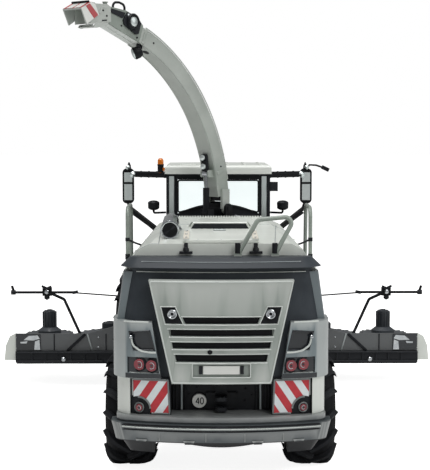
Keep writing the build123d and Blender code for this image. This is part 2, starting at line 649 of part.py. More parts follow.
# Crop path: chopper housing between the front wheels, the rising chute and the ring that the spout turns on
TURRET = 70.0
SPOUT_BASE = 99.4
RING_TOP = SPOUT_BASE - 2.4
HOUSING_FRONT = 124.5
LIFT_PIVOT = (114.0, 47.0)
with BuildPart() as chopper_housing:
    with BuildSketch(Plane.YZ.offset(-20.0)):
        with BuildLine():
            Polyline(
                (y_at(84.0), 38.0),
                (y_at(109.0), 44.0),
                (y_at(HOUSING_FRONT - 2), 44.0),
                (y_at(HOUSING_FRONT), 60.0),
                (y_at(84.0), 62.0),
                close=True,
            )
        make_face()
    extrude(amount=40.0)
    with BuildSketch(Plane.XY.offset(37.0)):
        with Locations((0, y_at(72.0))):
            Rectangle(20.0, 26.0)
    with BuildSketch(Plane.XY.offset(RING_TOP - 3.0)):
        with Locations((0, y_at(TURRET))):
            Rectangle(13.0, 13.0)
    loft(ruled=True)
    with Locations((0, y_at(TURRET), RING_TOP - 1.6)):
        Cylinder(11.0, 3.2)
save("chopper_housing", chopper_housing.part)

# Deck over the front wheels, with its aprons, and the ladder on the left
with BuildPart() as deck:
    with BuildSketch(Plane.XY.offset(DECK_Z)):
        with Locations((0, y_at(102.1))):
            RectangleRounded(2 * DECK_HALF_W, 69.8, 6.0)
        with Locations((0, y_at(TURRET))):
            Circle(14.0, mode=Mode.SUBTRACT)
    extrude(amount=1.6)
    for side in (1, -1):
        with Locations((side * (DECK_HALF_W - 9.5), y_at(67.9), 58.0)):
            Box(18.0, 1.2, 20.0)
save("deck", deck.part)

LADDER_X = DECK_HALF_W - 3.6
LADDER_Y = (47.0, 60.0)
with BuildPart() as ladder:
    for rail_y in LADDER_Y:
        with Locations((-LADDER_X, y_at(rail_y), 43.0)):
            Box(2.0, 1.2, 50.0)
    for step in range(5):
        with Locations((-LADDER_X, y_at(sum(LADDER_Y) / 2), 20.0 + step * 10.5)):
            Box(4.0, LADDER_Y[1] - LADDER_Y[0] - 1.0, 1.0)
    for stay_z in (34.0, 42.0):
        with Locations((-(BOX_X[1] + FIT + LADDER_X) / 2, y_at(sum(LADDER_Y) / 2), stay_z)):
            Box(LADDER_X - BOX_X[1] - FIT, LADDER_Y[1] - LADDER_Y[0], 1.6)
save("ladder", ladder.part)

# Cab: hollow frame with its windows cut, roof, glass, and two doors
CAB_HALF = 25.0
CAB_REAR = 84.0
CAB_FRONT = 132.0
CAB_BOW = 5.0
CAB_FLOOR = DECK_Z + 1.6 + FIT
CAB_TOP = 118.6
CAB_WALL = 1.6
DOOR_Y = (91.0, 128.0)
DOOR_Z = (73.0, 115.0)


def cab_plan(z, grow, rear=CAB_REAR, front=CAB_FRONT, bow=CAB_BOW):
    """Plan of the cab at height z: straight sides and a bowed front."""
    half = CAB_HALF + grow
    with BuildSketch(Plane.XY.offset(z)) as plan:
        with BuildLine():
            Line((-half, y_at(front)), (-half, y_at(rear - grow)))
            Line((-half, y_at(rear - grow)), (half, y_at(rear - grow)))
            Line((half, y_at(rear - grow)), (half, y_at(front)))
            ThreePointArc((half, y_at(front)), (0, y_at(front + bow + grow)), (-half, y_at(front)))
        make_face()
    return plan.sketch


def rear_window(inset):
    """Outline of the rear window, with its arched sill."""
    half = REAR_WINDOW_HALF - inset
    with BuildSketch(Plane.XZ.offset(-y_at(CAB_REAR))) as window:
        with BuildLine():
            ThreePointArc((-half, SILL_Z[0] + inset), (0, SILL_Z[1] + inset), (half, SILL_Z[0] + inset))
            Polyline(
                (half, SILL_Z[0] + inset),
                (half, WINDOW_TOP - inset),
                (-half, WINDOW_TOP - inset),
                (-half, SILL_Z[0] + inset),
            )
        make_face()
    return window.sketch


REAR_WINDOW_HALF = 19.5
SILL_Z = (99.6, 104.4)
WINDOW_TOP = 116.0
with BuildPart() as cab_frame:
    extrude(cab_plan(CAB_FLOOR, 0), amount=CAB_TOP - CAB_FLOOR)
    extrude(cab_plan(CAB_FLOOR + 2.4, -CAB_WALL), amount=CAB_TOP - CAB_FLOOR - 3.6, mode=Mode.SUBTRACT)
    with Locations((0, y_at(sum(DOOR_Y) / 2), sum(DOOR_Z) / 2)):
        Box(80.0, DOOR_Y[1] - DOOR_Y[0], DOOR_Z[1] - DOOR_Z[0], mode=Mode.SUBTRACT)
    extrude(rear_window(0), amount=4.0, both=True, mode=Mode.SUBTRACT)
    with Locations((0, y_at(CAB_FRONT + 4.0), 95.0)):
        Box(44.0, 12.0, 42.0, mode=Mode.SUBTRACT)
save("cab_frame", cab_frame.part)

with BuildPart() as cab_roof:
    extrude(cab_plan(CAB_TOP + FIT, 0.6, rear=CAB_REAR - 1.0, front=CAB_FRONT + 3.0), amount=4.2)
    fillet(cab_roof.edges().group_by(Axis.Z)[-1], radius=1.6)
    with BuildSketch(Plane.XY.offset(CAB_TOP + FIT + 4.2)):
        with Locations((-14.4, y_at(CAB_REAR + 8.0))):
            RectangleRounded(10.0, 12.0, 1.6)
    extrude(amount=-0.8, mode=Mode.SUBTRACT)
save("cab_roof", cab_roof.part)

GLASS_T = 0.8
with BuildPart() as cab_glass:
    extrude(cab_plan(74.2, -0.4), amount=41.6)
    extrude(cab_plan(73.0, -0.4 - GLASS_T), amount=44.0, mode=Mode.SUBTRACT)
    with Locations((0, y_at(CAB_FRONT + 4.0), 95.0)):
        Box(44.0 - 2 * FIT, 12.0, 41.0, mode=Mode.INTERSECT)
    extrude(rear_window(FIT), amount=-0.4 - GLASS_T)
    with Locations((0, y_at(CAB_REAR), 108.0)):
        Box(50.0, 0.8, 30.0, mode=Mode.SUBTRACT)
save("cab_glass", cab_glass.part)

for side_name, side in (("left", -1), ("right", 1)):
    with BuildPart() as door:
        with BuildSketch(Plane.YZ.offset(side * (CAB_HALF - CAB_WALL / 2))):
            with Locations((y_at(sum(DOOR_Y) / 2), sum(DOOR_Z) / 2)):
                Rectangle(DOOR_Y[1] - DOOR_Y[0] - 2 * SWING_GAP, DOOR_Z[1] - DOOR_Z[0] - 2 * SWING_GAP)
                RectangleRounded(
                    DOOR_Y[1] - DOOR_Y[0] - 6.0, DOOR_Z[1] - DOOR_Z[0] - 6.0, 3.0, mode=Mode.SUBTRACT
                )
        extrude(amount=CAB_WALL / 2, both=True)
        with BuildSketch(Plane.YZ.offset(side * (CAB_HALF - CAB_WALL / 2))):
            with Locations((y_at(sum(DOOR_Y) / 2), sum(DOOR_Z) / 2)):
                RectangleRounded(DOOR_Y[1] - DOOR_Y[0] - 6.0, DOOR_Z[1] - DOOR_Z[0] - 6.0, 3.0)
        extrude(amount=GLASS_T / 2, both=True)
    save(f"door_{side_name}", door.part)

with BuildPart() as cab_interior:
    floor_z = CAB_FLOOR + 2.4
    with Locations((0, y_at(100.0), floor_z + 4.0)):
        Box(14.0, 14.0, 8.0)
    with Locations((0, y_at(94.5), floor_z + 15.0)):
        Box(13.0, 3.0, 17.0, rotation=(-6, 0, 0))
    with Locations((0, y_at(120.0), floor_z + 8.0)):
        Box(4.0, 4.0, 16.0)
    with Locations((0, y_at(117.6), floor_z + 16.0)):
        Cylinder(5.0, 1.0, rotation=(35, 0, 0))
save("cab_interior", cab_interior.part)

# Mirrors on their arms and stays
ARM_Z = 116.6
ARM_R = 1.6
MIRROR_X = 46.6
MIRROR_Y = 141.0
with BuildPart() as mirrors:
    for side in (1, -1):
        with Locations((side * (CAB_HALF + FIT + 1.0), y_at(130.0), ARM_Z)):
            Box(2.0, 3.4, 3.2)
        add(tube([(side * (CAB_HALF + 1.0), y_at(130.0), ARM_Z), (side * 44.0, y_at(MIRROR_Y), ARM_Z)], ARM_R, 2.0))
        with BuildSketch(Plane.XZ.offset(-y_at(MIRROR_Y))):
            with Locations((side * MIRROR_X, 110.4)):
                RectangleRounded(6.0, 18.4, 2.2)
        extrude(amount=1.5, both=True)
        stay = [(MIRROR_X, MIRROR_Y, 102.0), (45.4, MIRROR_Y, 98.6), (CAB_HALF + 1.0, 130.0, 84.5)]
        add(tube([(side * x, y_at(y), z) for x, y, z in stay], 1.1, 1.6))
        with Locations((side * (CAB_HALF + FIT + 1.0), y_at(130.0), 84.5)):
            Box(2.0, 3.0, 3.0)
save("mirrors", mirrors.part)

with BuildPart() as mirror_glass:
    for side in (1, -1):
        for glass_z, glass_h in ((115.0, 5.0), (107.2, 8.4)):
            with Locations((side * MIRROR_X, y_at(MIRROR_Y) - 1.5 - FIT - 0.2, glass_z)):
                Box(4.2, 0.4, glass_h)
save("mirror_glass", mirror_glass.part)

# Lamps: black housings and their lenses
LAMP_ROW_X = (-18.0, -10.0, 10.0, 18.0)
LAMP_ROW_Z = CAB_TOP - 1.6


def front_y(x):
    """Outer face of the bowed cab front, from the rear axle, at a distance x from the middle."""
    return CAB_FRONT + CAB_BOW * (1 - (x / CAB_HALF) ** 2)


with BuildPart() as lamp_housings:
    for side in (1, -1):
        arm = [(CAB_HALF + FIT + 0.3, 86.4, 100.0), (31.0, 83.0, 100.0), (31.0, 83.0, 103.0)]
        add(tube([(side * x, y_at(y), z) for x, y, z in arm], 0.5, 0.8))
        with Locations((side * 31.0, y_at(83.0), 103.6)):
            Cylinder(2.6, 2.6)
    for lamp_x in LAMP_ROW_X:
        with Locations((lamp_x, y_at(front_y(lamp_x) + 2.0), LAMP_ROW_Z)):
            Box(4.4, 2.4, 3.0)
    with Locations((CAB_HALF + FIT + 1.8, y_at(84.9), 112.6)):
        Box(3.6, 3.0, 4.4)
save("lamp_housings", lamp_housings.part)

with BuildPart() as lamp_lenses:
    for lamp_x in LAMP_ROW_X:
        with Locations((lamp_x, y_at(front_y(lamp_x) + 3.2 + FIT + 0.2), LAMP_ROW_Z)):
            Box(3.8, 0.4, 2.4)
    for side in (1, -1):
        with Locations(Plane(origin=(side * 18.9, y_at(-44.1), 69.6), z_dir=(0, 1, 0))):
            Cylinder(1.4, 2.4)
save("lamp_lenses", lamp_lenses.part)

BEACON_X = -28.2
with BuildPart() as beacon:
    with Locations((BEACON_X, y_at(100.0), 120.8)):
        Cylinder(0.9, 4.4)
    with Locations((-(CAB_HALF + 0.6 + FIT + 1.2), y_at(100.0), 120.4)):
        Box(2.4, 2.0, 1.6)
    with Locations((BEACON_X, y_at(100.0), 123.4)):
        Cylinder(1.45, 2.2)
    with Locations((BEACON_X, y_at(100.0), 124.5)):
        Sphere(1.45)
save("beacon", beacon.part)

# Spout: everything lies in the upright plane that points rearwards and to the left
SPOUT_ANGLE = 40.0
SPOUT_REACH = 90.0
SPOUT_RISE = 87.5
SPOUT_END = 68.5
SPOUT_HALF_W = 3.9
SPOUT_WALL = 0.8
BASE_DEPTH = 9.2
END_DEPTH = 7.5
SPOUT_BEVEL = 1.1
pointing = (-math.sin(math.radians(SPOUT_ANGLE)), -math.cos(math.radians(SPOUT_ANGLE)), 0)
across = (-math.cos(math.radians(SPOUT_ANGLE)), math.sin(math.radians(SPOUT_ANGLE)), 0)
SPOUT_PLANE = Plane(origin=(0, y_at(TURRET), 0), x_dir=pointing, z_dir=across)
LIFT_HINGE = (0.0, SPOUT_BASE + 3.6)


def arc_point(angle, depth):
    """Point of the spout's curve: angle along the quarter ellipse, depth out from its middle line."""
    t = math.radians(angle)
    u = SPOUT_REACH - (SPOUT_REACH + depth) * math.cos(t)
    return (u, SPOUT_BASE + (SPOUT_RISE + depth) * math.sin(t))


def spout_profile(start, end, base_depth, end_depth):
    """Side view of the curved duct between two angles, from its inner to its outer edge."""
    middle = (start + end) / 2
    mid_depth = (base_depth + end_depth) / 2
    with BuildSketch(SPOUT_PLANE) as profile:
        with BuildLine():
            ThreePointArc(
                arc_point(start, base_depth / 2), arc_point(middle, mid_depth / 2), arc_point(end, end_depth / 2)
            )
            Line(arc_point(end, end_depth / 2), arc_point(end, -end_depth / 2))
            ThreePointArc(
                arc_point(end, -end_depth / 2), arc_point(middle, -mid_depth / 2), arc_point(start, -base_depth / 2)
            )
            Line(arc_point(start, -base_depth / 2), arc_point(start, base_depth / 2))
        make_face()
    return profile.sketch


TUBE_START = 6.4
BARREL_PIN = (9.0, SPOUT_BASE + 2.0)
ROD_PIN_Z = SPOUT_BASE + 20.2
CYL_PIN_R = 0.7
EYE_PLAY = 0.17  # the rod's eye drifts this far from its pin while the spout lifts
EYE_R = CYL_PIN_R + EYE_PLAY + 0.6


def hollow_u(z, depth):
    """How far the hollow side of the curve has come at height z, for a duct of that depth."""
    rise = math.asin((z - SPOUT_BASE) / (SPOUT_RISE - depth / 2))
    return SPOUT_REACH - (SPOUT_REACH - depth / 2) * math.cos(rise)


ROD_PIN = (hollow_u(ROD_PIN_Z, BASE_DEPTH) + EYE_R + 0.4, ROD_PIN_Z)
with BuildPart() as spout_tube:
    extrude(spout_profile(TUBE_START, SPOUT_END, BASE_DEPTH, END_DEPTH), amount=SPOUT_HALF_W, both=True)
    chamfer(spout_tube.edges().sort_by(SortBy.LENGTH)[-2:], SPOUT_BEVEL)
    hollow = spout_profile(TUBE_START - 2, SPOUT_END + 2, BASE_DEPTH - 2 * SPOUT_WALL, END_DEPTH - 2 * SPOUT_WALL)
    extrude(hollow, amount=SPOUT_HALF_W - SPOUT_WALL, both=True, mode=Mode.SUBTRACT)
    for side in (1, -1):
        with BuildSketch(SPOUT_PLANE.offset(side * (SPOUT_HALF_W + 0.6))):
            with Locations(LIFT_HINGE):
                Circle(2.6)
            with Locations((0.6, LIFT_HINGE[1] + 4.6)):
                Rectangle(5.2, 9.2)
        extrude(amount=0.6, both=True)
    with Locations(Plane(origin=SPOUT_PLANE.from_local_coords((*LIFT_HINGE, 0)), z_dir=across)):
        Cylinder(1.2 + RUN, 14.0, mode=Mode.SUBTRACT)
    for side in (1, -1):
        with BuildSketch(SPOUT_PLANE.offset(side * 2.1)):
            with Locations((ROD_PIN[0] - 1.0, ROD_PIN[1])):
                RectangleRounded(4.6, 3.4, 1.0)
        extrude(amount=0.4, both=True)
    with Locations(Plane(origin=SPOUT_PLANE.from_local_coords((*ROD_PIN, 0)), z_dir=across)):
        Cylinder(CYL_PIN_R, 5.0)
save("spout_tube", spout_tube.part)

with BuildPart() as spout_turret:
    with Locations((0, y_at(TURRET), RING_TOP + 0.2 + 0.9)):
        Cylinder(10.6, 1.8)
    with BuildSketch(SPOUT_PLANE):
        with Locations((0, LIFT_HINGE[1] - 0.8)):
            Rectangle(6.4, 6.8)
    extrude(amount=SPOUT_HALF_W - 0.4, both=True)
    for side in (1, -1):
        with BuildSketch(SPOUT_PLANE.offset(side * (SPOUT_HALF_W + 2.0))):
            with Locations((0, LIFT_HINGE[1] - 1.5)):
                Rectangle(5.0, 5.4)
            with Locations(LIFT_HINGE):
                Circle(2.5)
        extrude(amount=0.55, both=True)
    with Locations(Plane(origin=SPOUT_PLANE.from_local_coords((*LIFT_HINGE, 0)), z_dir=across)):
        Cylinder(1.2, 2 * SPOUT_HALF_W + 5.6)
    for side in (1, -1):
        with BuildSketch(SPOUT_PLANE.offset(side * 2.1)):
            with Locations((BARREL_PIN[0] - 0.6, BARREL_PIN[1] - 0.7)):
                Rectangle(4.0, 4.4)
        extrude(amount=0.4, both=True)
    with Locations(Plane(origin=SPOUT_PLANE.from_local_coords((*BARREL_PIN, 0)), z_dir=across)):
        Cylinder(CYL_PIN_R, 5.0)
save("spout_turret", spout_turret.part)

# Extension bolted to the end of the curve, then the two hinged deflector flaps
EXT_TILT = 18.3
# Side view of the extension from its front to its back over the top: length along it, lift over its middle line
EXT_TOP = [(23.6, 3.4), (11.6, 6.0), (3.6, 5.8)]
EXT_HEEL = (23.0, -3.0)
LAMP_BOSS = (7.4, 2.6)
FLAP_LENGTH = 10.0
FLAP_TILT = -2.0
LIP_LENGTH = 6.4
LIP_TILT = -27.0
FLAP_WALL = 0.5
FLAP_GAP = 0.25
FLAP_LAP = 2.0


def along(start, tilt, length, lift=0.0):
    """The point at length from start, at tilt above the horizontal, and lift above that line, in the spout's plane."""
    t = math.radians(tilt)
    return (
        start[0] + length * math.cos(t) - lift * math.sin(t),
        start[1] + length * math.sin(t) + lift * math.cos(t),
    )


def side_view(points):
    """Face over points of the spout's plane."""
    with BuildSketch(SPOUT_PLANE) as face:
        with BuildLine():
            Polyline(*points, close=True)
        make_face()
    return face.sketch


tube_tilt = math.degrees(
    math.atan2(
        SPOUT_RISE * math.cos(math.radians(SPOUT_END)), SPOUT_REACH * math.sin(math.radians(SPOUT_END))
    )
)
ext_top = along(arc_point(SPOUT_END, END_DEPTH / 2), tube_tilt, FIT)
ext_low = along(arc_point(SPOUT_END, -END_DEPTH / 2), tube_tilt, FIT)
ext_mid = along(arc_point(SPOUT_END, 0), tube_tilt, FIT)
with BuildPart() as spout_extension:
    outside = [along(ext_mid, EXT_TILT, *place) for place in (EXT_HEEL, *EXT_TOP)]
    extrude(side_view([ext_low, *outside, ext_top]), amount=SPOUT_HALF_W, both=True)
    roof = [(length, lift - SPOUT_WALL) for length, lift in EXT_TOP[1:]]
    front_top = (EXT_TOP[0][0] + 2.0, EXT_TOP[0][1] - SPOUT_WALL - 0.5)
    front_low = (EXT_HEEL[0] + 2.0, EXT_HEEL[1] + SPOUT_WALL)
    back = [(-2.0, END_DEPTH / 2 - SPOUT_WALL), (-2.0, SPOUT_WALL - END_DEPTH / 2)]
    inside = [along(ext_mid, EXT_TILT, *place) for place in (front_low, front_top, *roof, *back)]
    extrude(side_view(inside), amount=SPOUT_HALF_W - SPOUT_WALL, both=True, mode=Mode.SUBTRACT)
    with BuildSketch(SPOUT_PLANE.offset(-SPOUT_HALF_W)):
        with Locations(along(ext_mid, EXT_TILT, *LAMP_BOSS)):
            Circle(3.3)
    extrude(amount=-1.4)
save("spout_extension", spout_extension.part)


def deflector(hinge, tilt, length, depth_0, depth_1, half_w):
    """Flap: a top plate from just past its hinge, and two side plates that lap outside the piece before it."""
    with BuildPart() as flap:
        sides = [
            along(hinge, tilt, -FLAP_LAP, -0.6),
            along(hinge, tilt, 0, FLAP_WALL),
            along(hinge, tilt, length, FLAP_WALL),
            along(hinge, tilt, length, -depth_1),
            along(hinge, tilt, -FLAP_LAP, -depth_0),
        ]
        extrude(side_view(sides), amount=half_w, both=True)
        inside = [
            along(hinge, tilt, 0.7, 0),
            along(hinge, tilt, length + 1.0, 0),
            along(hinge, tilt, length + 1.0, -depth_1 - 3.0),
            along(hinge, tilt, -FLAP_LAP - 1.0, -depth_0 - 3.0),
            along(hinge, tilt, -FLAP_LAP - 1.0, FLAP_WALL + 1.0),
            along(hinge, tilt, 0.7, FLAP_WALL + 1.0),
        ]
        extrude(side_view(inside), amount=half_w - FLAP_WALL, both=True, mode=Mode.SUBTRACT)
    return flap.part


flap_hinge = along(ext_mid, EXT_TILT, *EXT_TOP[0])
lip_hinge = along(flap_hinge, FLAP_TILT, FLAP_LENGTH, FLAP_WALL)
flap_half = SPOUT_HALF_W + FLAP_GAP + FLAP_WALL
save("spout_flap", deflector(flap_hinge, FLAP_TILT, FLAP_LENGTH, 6.8, 7.8, flap_half))
save("spout_lip", deflector(lip_hinge, LIP_TILT, LIP_LENGTH, 6.0, 6.6, flap_half + FLAP_GAP + FLAP_WALL))

# Lift cylinder between the turret and the hollow of the curve
BARREL_R = 1.5
ROD_R = 0.75
BARREL_LENGTH = 11.6
cyl_length = math.dist(BARREL_PIN, ROD_PIN)
cyl_tilt = math.degrees(math.atan2(ROD_PIN[1] - BARREL_PIN[1], ROD_PIN[0] - BARREL_PIN[0]))


def on_cylinder(distance):
    return SPOUT_PLANE.from_local_coords((*along(BARREL_PIN, cyl_tilt, distance), 0))


cyl_axis = on_cylinder(1.0) - on_cylinder(0.0)
with BuildPart() as lift_barrel:
    with Locations(Plane(origin=on_cylinder(BARREL_LENGTH / 2), z_dir=cyl_axis)):
        Cylinder(BARREL_R, BARREL_LENGTH)
    with Locations(Plane(origin=on_cylinder(BARREL_LENGTH / 2 + 3.0), z_dir=cyl_axis)):
        Cylinder(ROD_R + RUN, BARREL_LENGTH, mode=Mode.SUBTRACT)
    with Locations(Plane(origin=on_cylinder(0.0), z_dir=across)):
        Cylinder(BARREL_R, 3.0)
        Cylinder(CYL_PIN_R + RUN, 4.0, mode=Mode.SUBTRACT)
save("lift_barrel", lift_barrel.part)
with BuildPart() as lift_rod:
    with Locations(Plane(origin=on_cylinder((cyl_length + 7.6) / 2), z_dir=cyl_axis)):
        Cylinder(ROD_R, cyl_length - 7.6)
    with Locations(Plane(origin=on_cylinder(cyl_length), z_dir=across)):
        Cylinder(EYE_R, 3.0)
        Cylinder(CYL_PIN_R + EYE_PLAY, 4.0, mode=Mode.SUBTRACT)
save("lift_rod", lift_rod.part)

# Feeder house, which carries the header and swings on the chopper housing
FEEDER_HALF = 21.6
HEADER_REAR = 158.0
with BuildPart() as feeder_house:
    with BuildSketch(Plane.YZ.offset(-FEEDER_HALF)):
        with BuildLine():
            Polyline(
                (y_at(128.0), 27.0),
                (y_at(HEADER_REAR - FIT), 19.0),
                (y_at(HEADER_REAR - FIT), 38.0),
                (y_at(126.6), 58.0),
                (y_at(126.6), 42.0),
                close=True,
            )
        make_face()
    extrude(amount=FEEDER_HALF * 2)
    for side in (1, -1):
        with BuildSketch(Plane.YZ.offset(side * (FEEDER_HALF - 0.6))):
            with BuildLine():
                Polyline(
                    (y_at(LIFT_PIVOT[0]), 43.0),
                    (y_at(128.0), 40.0),
                    (y_at(128.0), 54.0),
                    (y_at(LIFT_PIVOT[0]), 51.0),
                    close=True,
                )
            make_face()
            with Locations((y_at(LIFT_PIVOT[0]), LIFT_PIVOT[1])):
                Circle(4.0)
        extrude(amount=0.6, both=True)
save("feeder_house", feeder_house.part)

# Header
BEAM_Z = (13.4, 19.4)
HEADER_HALF = 116.0
PAN_Z = 12.2
PAN_T = 2.4
SPINDLE_R = 2.0
ROTOR_GAP = 2.0
ROTOR_INNER_R = 19.2
INNER_X = ROTOR_INNER_R + ROTOR_GAP / 2
OUTER_ROTOR_R = 13.2
OUTER_X = HEADER_HALF - 6.4 - 2.2 - OUTER_ROTOR_R
MIDDLE_R = (OUTER_X - OUTER_ROTOR_R - INNER_X - ROTOR_INNER_R - 2 * ROTOR_GAP) / 2 - 0.05
MIDDLE_X = INNER_X + ROTOR_INNER_R + ROTOR_GAP + MIDDLE_R
# name, centre x, centre y, radius, drum radius, top z
ROTORS = [
    ("rotor_outer", OUTER_X, 186.0, OUTER_ROTOR_R, 6.4, 37.4),
    ("rotor_middle", MIDDLE_X, 184.0, MIDDLE_R, MIDDLE_R * 0.47, 31.0),
    ("rotor_inner", INNER_X, 184.0, ROTOR_INNER_R, ROTOR_INNER_R * 0.47, 31.0),
]
with BuildPart() as header_frame:
    with Locations((0, y_at(HEADER_REAR + 3.2), sum(BEAM_Z) / 2)):
        Box(2 * (HEADER_HALF - 6.4 - FIT), 6.4, BEAM_Z[1] - BEAM_Z[0])
    with BuildSketch(Plane.XY.offset(PAN_Z)):
        for _, rotor_x, rotor_y, rotor_r, _, _ in ROTORS:
            for side in (1, -1):
                with Locations((side * rotor_x, y_at(rotor_y))):
                    Circle(rotor_r - 3.4)
        with Locations((0, y_at(176.0))):
            Rectangle(2 * (HEADER_HALF - 6.4 - FIT), 30.0)
    extrude(amount=PAN_T)
    for _, rotor_x, rotor_y, _, _, _ in ROTORS:
        for side in (1, -1):
            with Locations((side * rotor_x, y_at(rotor_y), PAN_Z + PAN_T + 3.0)):
                Cylinder(SPINDLE_R, 6.0)
save("header_frame", header_frame.part)

BACK_T = 1.2
BACK_OUTER = HEADER_HALF - 6.4 - FIT
BACK_PLATE = [
    (24.0, 19.6),
    (BACK_OUTER, 19.6),
    (BACK_OUTER, 29.0),
    (BACK_OUTER - 39.0, 29.0),
    (BACK_OUTER - 54.0, 33.0),
    (24.0, 38.6),
]
with BuildPart() as header_back:
    for points in (BACK_PLATE, mirrored(BACK_PLATE)):
        with BuildSketch(Plane.XZ.offset(-y_at(HEADER_REAR + 3.0))):
            with BuildLine():
                Polyline(*points, close=True)
            make_face()
        extrude(amount=BACK_T)
save("header_back", header_back.part)

with BuildPart() as header_ends:
    for side in (1, -1):
        with BuildSketch(Plane.XZ.offset(-y_at(HEADER_REAR + 3.0))):
            with BuildLine():
                Polyline(
                    (side * (HEADER_HALF - 6.4), 14.2),
                    (side * HEADER_HALF, 14.2),
                    (side * (HEADER_HALF - 0.8), 22.4),
                    (side * (HEADER_HALF - 3.0), 27.4),
                    (side * (HEADER_HALF - 6.4), 29.2),
                    close=True,
                )
            make_face()
        with BuildSketch(Plane.XZ.offset(-y_at(HEADER_REAR + 74.0))):
            with BuildLine():
                Polyline(
                    (side * (HEADER_HALF - 5.0), 10.4),
                    (side * (HEADER_HALF - 2.0), 10.4),
                    (side * (HEADER_HALF - 2.2), 11.4),
                    (side * (HEADER_HALF - 3.4), 12.2),
                    (side * (HEADER_HALF - 5.0), 12.4),
                    close=True,
                )
            make_face()
        loft(ruled=True)
save("header_ends", header_ends.part)

# Crop dividers between neighbouring rotors: x, base y, tip y
DIVIDERS = [
    (0.0, 204.0, 232.0),
    (INNER_X + ROTOR_INNER_R + ROTOR_GAP / 2, 204.0, 230.0),
    (OUTER_X - OUTER_ROTOR_R - ROTOR_GAP / 2, 204.0, 230.0),
]
with BuildPart() as dividers:
    for divider_x, base_y, tip_y in DIVIDERS:
        for side in (1, -1) if divider_x else (1,):
            with BuildSketch(Plane.XZ.offset(-y_at(base_y))):
                with Locations((side * divider_x, 15.8)):
                    RectangleRounded(5.0, 7.2, 1.0)
            with BuildSketch(Plane.XZ.offset(-y_at(tip_y))):
                with Locations((side * divider_x, 11.4)):
                    RectangleRounded(1.2, 1.6, 0.4)
            loft(ruled=True)
            with Locations((side * divider_x, y_at(193.0), PAN_Z + PAN_T + FIT + 0.7)):
                Box(3.0, 23.0, 1.4)
save("dividers", dividers.part)

RING_Z = (17.8, 21.2, 24.6)
DRUM_Z = (16.8, 27.0)
TOOTH_COUNT = 20
GUIDE_FROM_Z = 34.0  # a rotor that stands higher than this has a ribbed guide drum
GUIDE_R = 4.0
GUIDE_RIBS = 14
for rotor_name, rotor_x, rotor_y, rotor_r, drum_r, top_z in ROTORS:
    for side_name, side in (("left", -1), ("right", 1)):
        place = (side * rotor_x, y_at(rotor_y))
        with BuildPart() as rotor:
            with Locations((*place, sum(DRUM_Z) / 2)):
                Cylinder(drum_r, DRUM_Z[1] - DRUM_Z[0])
            for ring_z in RING_Z:
                with BuildSketch(Plane.XY.offset(ring_z)):
                    with Locations(place):
                        Circle(rotor_r - 1.8)
                        with PolarLocations(rotor_r - 1.6, TOOTH_COUNT):
                            Rectangle(3.2, 1.6)
                extrude(amount=0.8)
            with Locations((*place, (DRUM_Z[1] + top_z) / 2)):
                Cylinder(drum_r * 0.5, top_z - DRUM_Z[1])
            if top_z > GUIDE_FROM_Z:
                with Locations((*place, DRUM_Z[1] + 0.9)):
                    Cone(drum_r, GUIDE_R, 1.8)
                with BuildSketch(Plane.XY.offset(DRUM_Z[1])):
                    with Locations(place):
                        Circle(GUIDE_R - 0.5)
                        with PolarLocations(GUIDE_R - 0.5, GUIDE_RIBS):
                            Rectangle(1.0, 0.8)
                extrude(amount=top_z - DRUM_Z[1])
            with Locations((*place, DRUM_Z[0])):
                Cylinder(SPINDLE_R + RUN, 8.6, mode=Mode.SUBTRACT)
        save(f"{rotor_name}_{side_name}", rotor.part)

# Push bars above the header
with BuildPart() as push_bars:
    bar_y = y_at(HEADER_REAR + 4.0)
    for side in (1, -1):
        add(
            tube(
                [
                    (side * 74.0, bar_y, 27.0),
                    (side * 83.2, bar_y, 47.6),
                    (side * 92.0, bar_y, 51.6),
                ],
                0.8,
                2.0,
            )
        )
        add(tube([(side * 77.0, bar_y, 51.4), (side * 110.4, bar_y, 51.4), (side * 111.6, bar_y, 55.0)], 0.7, 1.4))
        with Locations((side * 92.4, bar_y, 51.8)):
            Box(5.0, 2.6, 4.4)
        add(tube([(0, bar_y, 45.4), (side * 78.0, bar_y, 51.2)], 0.4, 1.0))
save("push_bars", push_bars.part)
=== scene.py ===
# %% [markdown]
# # A scale model forage harvester, dressed for its portrait
# The solids come from the CAD frame, already in place and in metres. This lesson gives each of them the
# finish it has on a die-cast collector's model, adds the small trim that CAD leaves out, and sets up a
# plain studio.

# %% Load the frame
import json
import math

import bmesh
import bpy
import numpy as np
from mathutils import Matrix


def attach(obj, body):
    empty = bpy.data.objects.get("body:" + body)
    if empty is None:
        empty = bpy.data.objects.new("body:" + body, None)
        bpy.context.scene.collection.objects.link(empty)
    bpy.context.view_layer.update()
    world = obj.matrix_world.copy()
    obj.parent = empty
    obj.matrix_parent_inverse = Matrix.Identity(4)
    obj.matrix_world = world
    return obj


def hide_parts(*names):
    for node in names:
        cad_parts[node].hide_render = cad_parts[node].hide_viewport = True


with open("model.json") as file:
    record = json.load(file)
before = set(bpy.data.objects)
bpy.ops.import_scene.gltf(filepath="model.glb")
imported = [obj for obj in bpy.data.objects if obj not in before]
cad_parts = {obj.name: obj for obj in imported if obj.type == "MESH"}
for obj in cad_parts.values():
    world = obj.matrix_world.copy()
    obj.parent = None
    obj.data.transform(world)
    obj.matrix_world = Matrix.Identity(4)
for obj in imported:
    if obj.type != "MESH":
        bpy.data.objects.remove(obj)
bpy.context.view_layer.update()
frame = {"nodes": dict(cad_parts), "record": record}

record = frame["record"]
MM = 0.001
REAR_AXLE_Y = -91.5
# Directions: towards the tail, upwards, and outwards on the right side.
BACK, UP, OUT = (0, -1, 0), (0, 0, 1), (1, 0, 0)


# %% [markdown]
# ## Colours and nodes
# Paint charts and photographs give colours as sRGB hex codes, but a renderer adds light in linear numbers,
# so one function does the change for every colour here. A few small functions each add one kind of shader
# node, set it and wire it, which keeps each material to some readable lines.

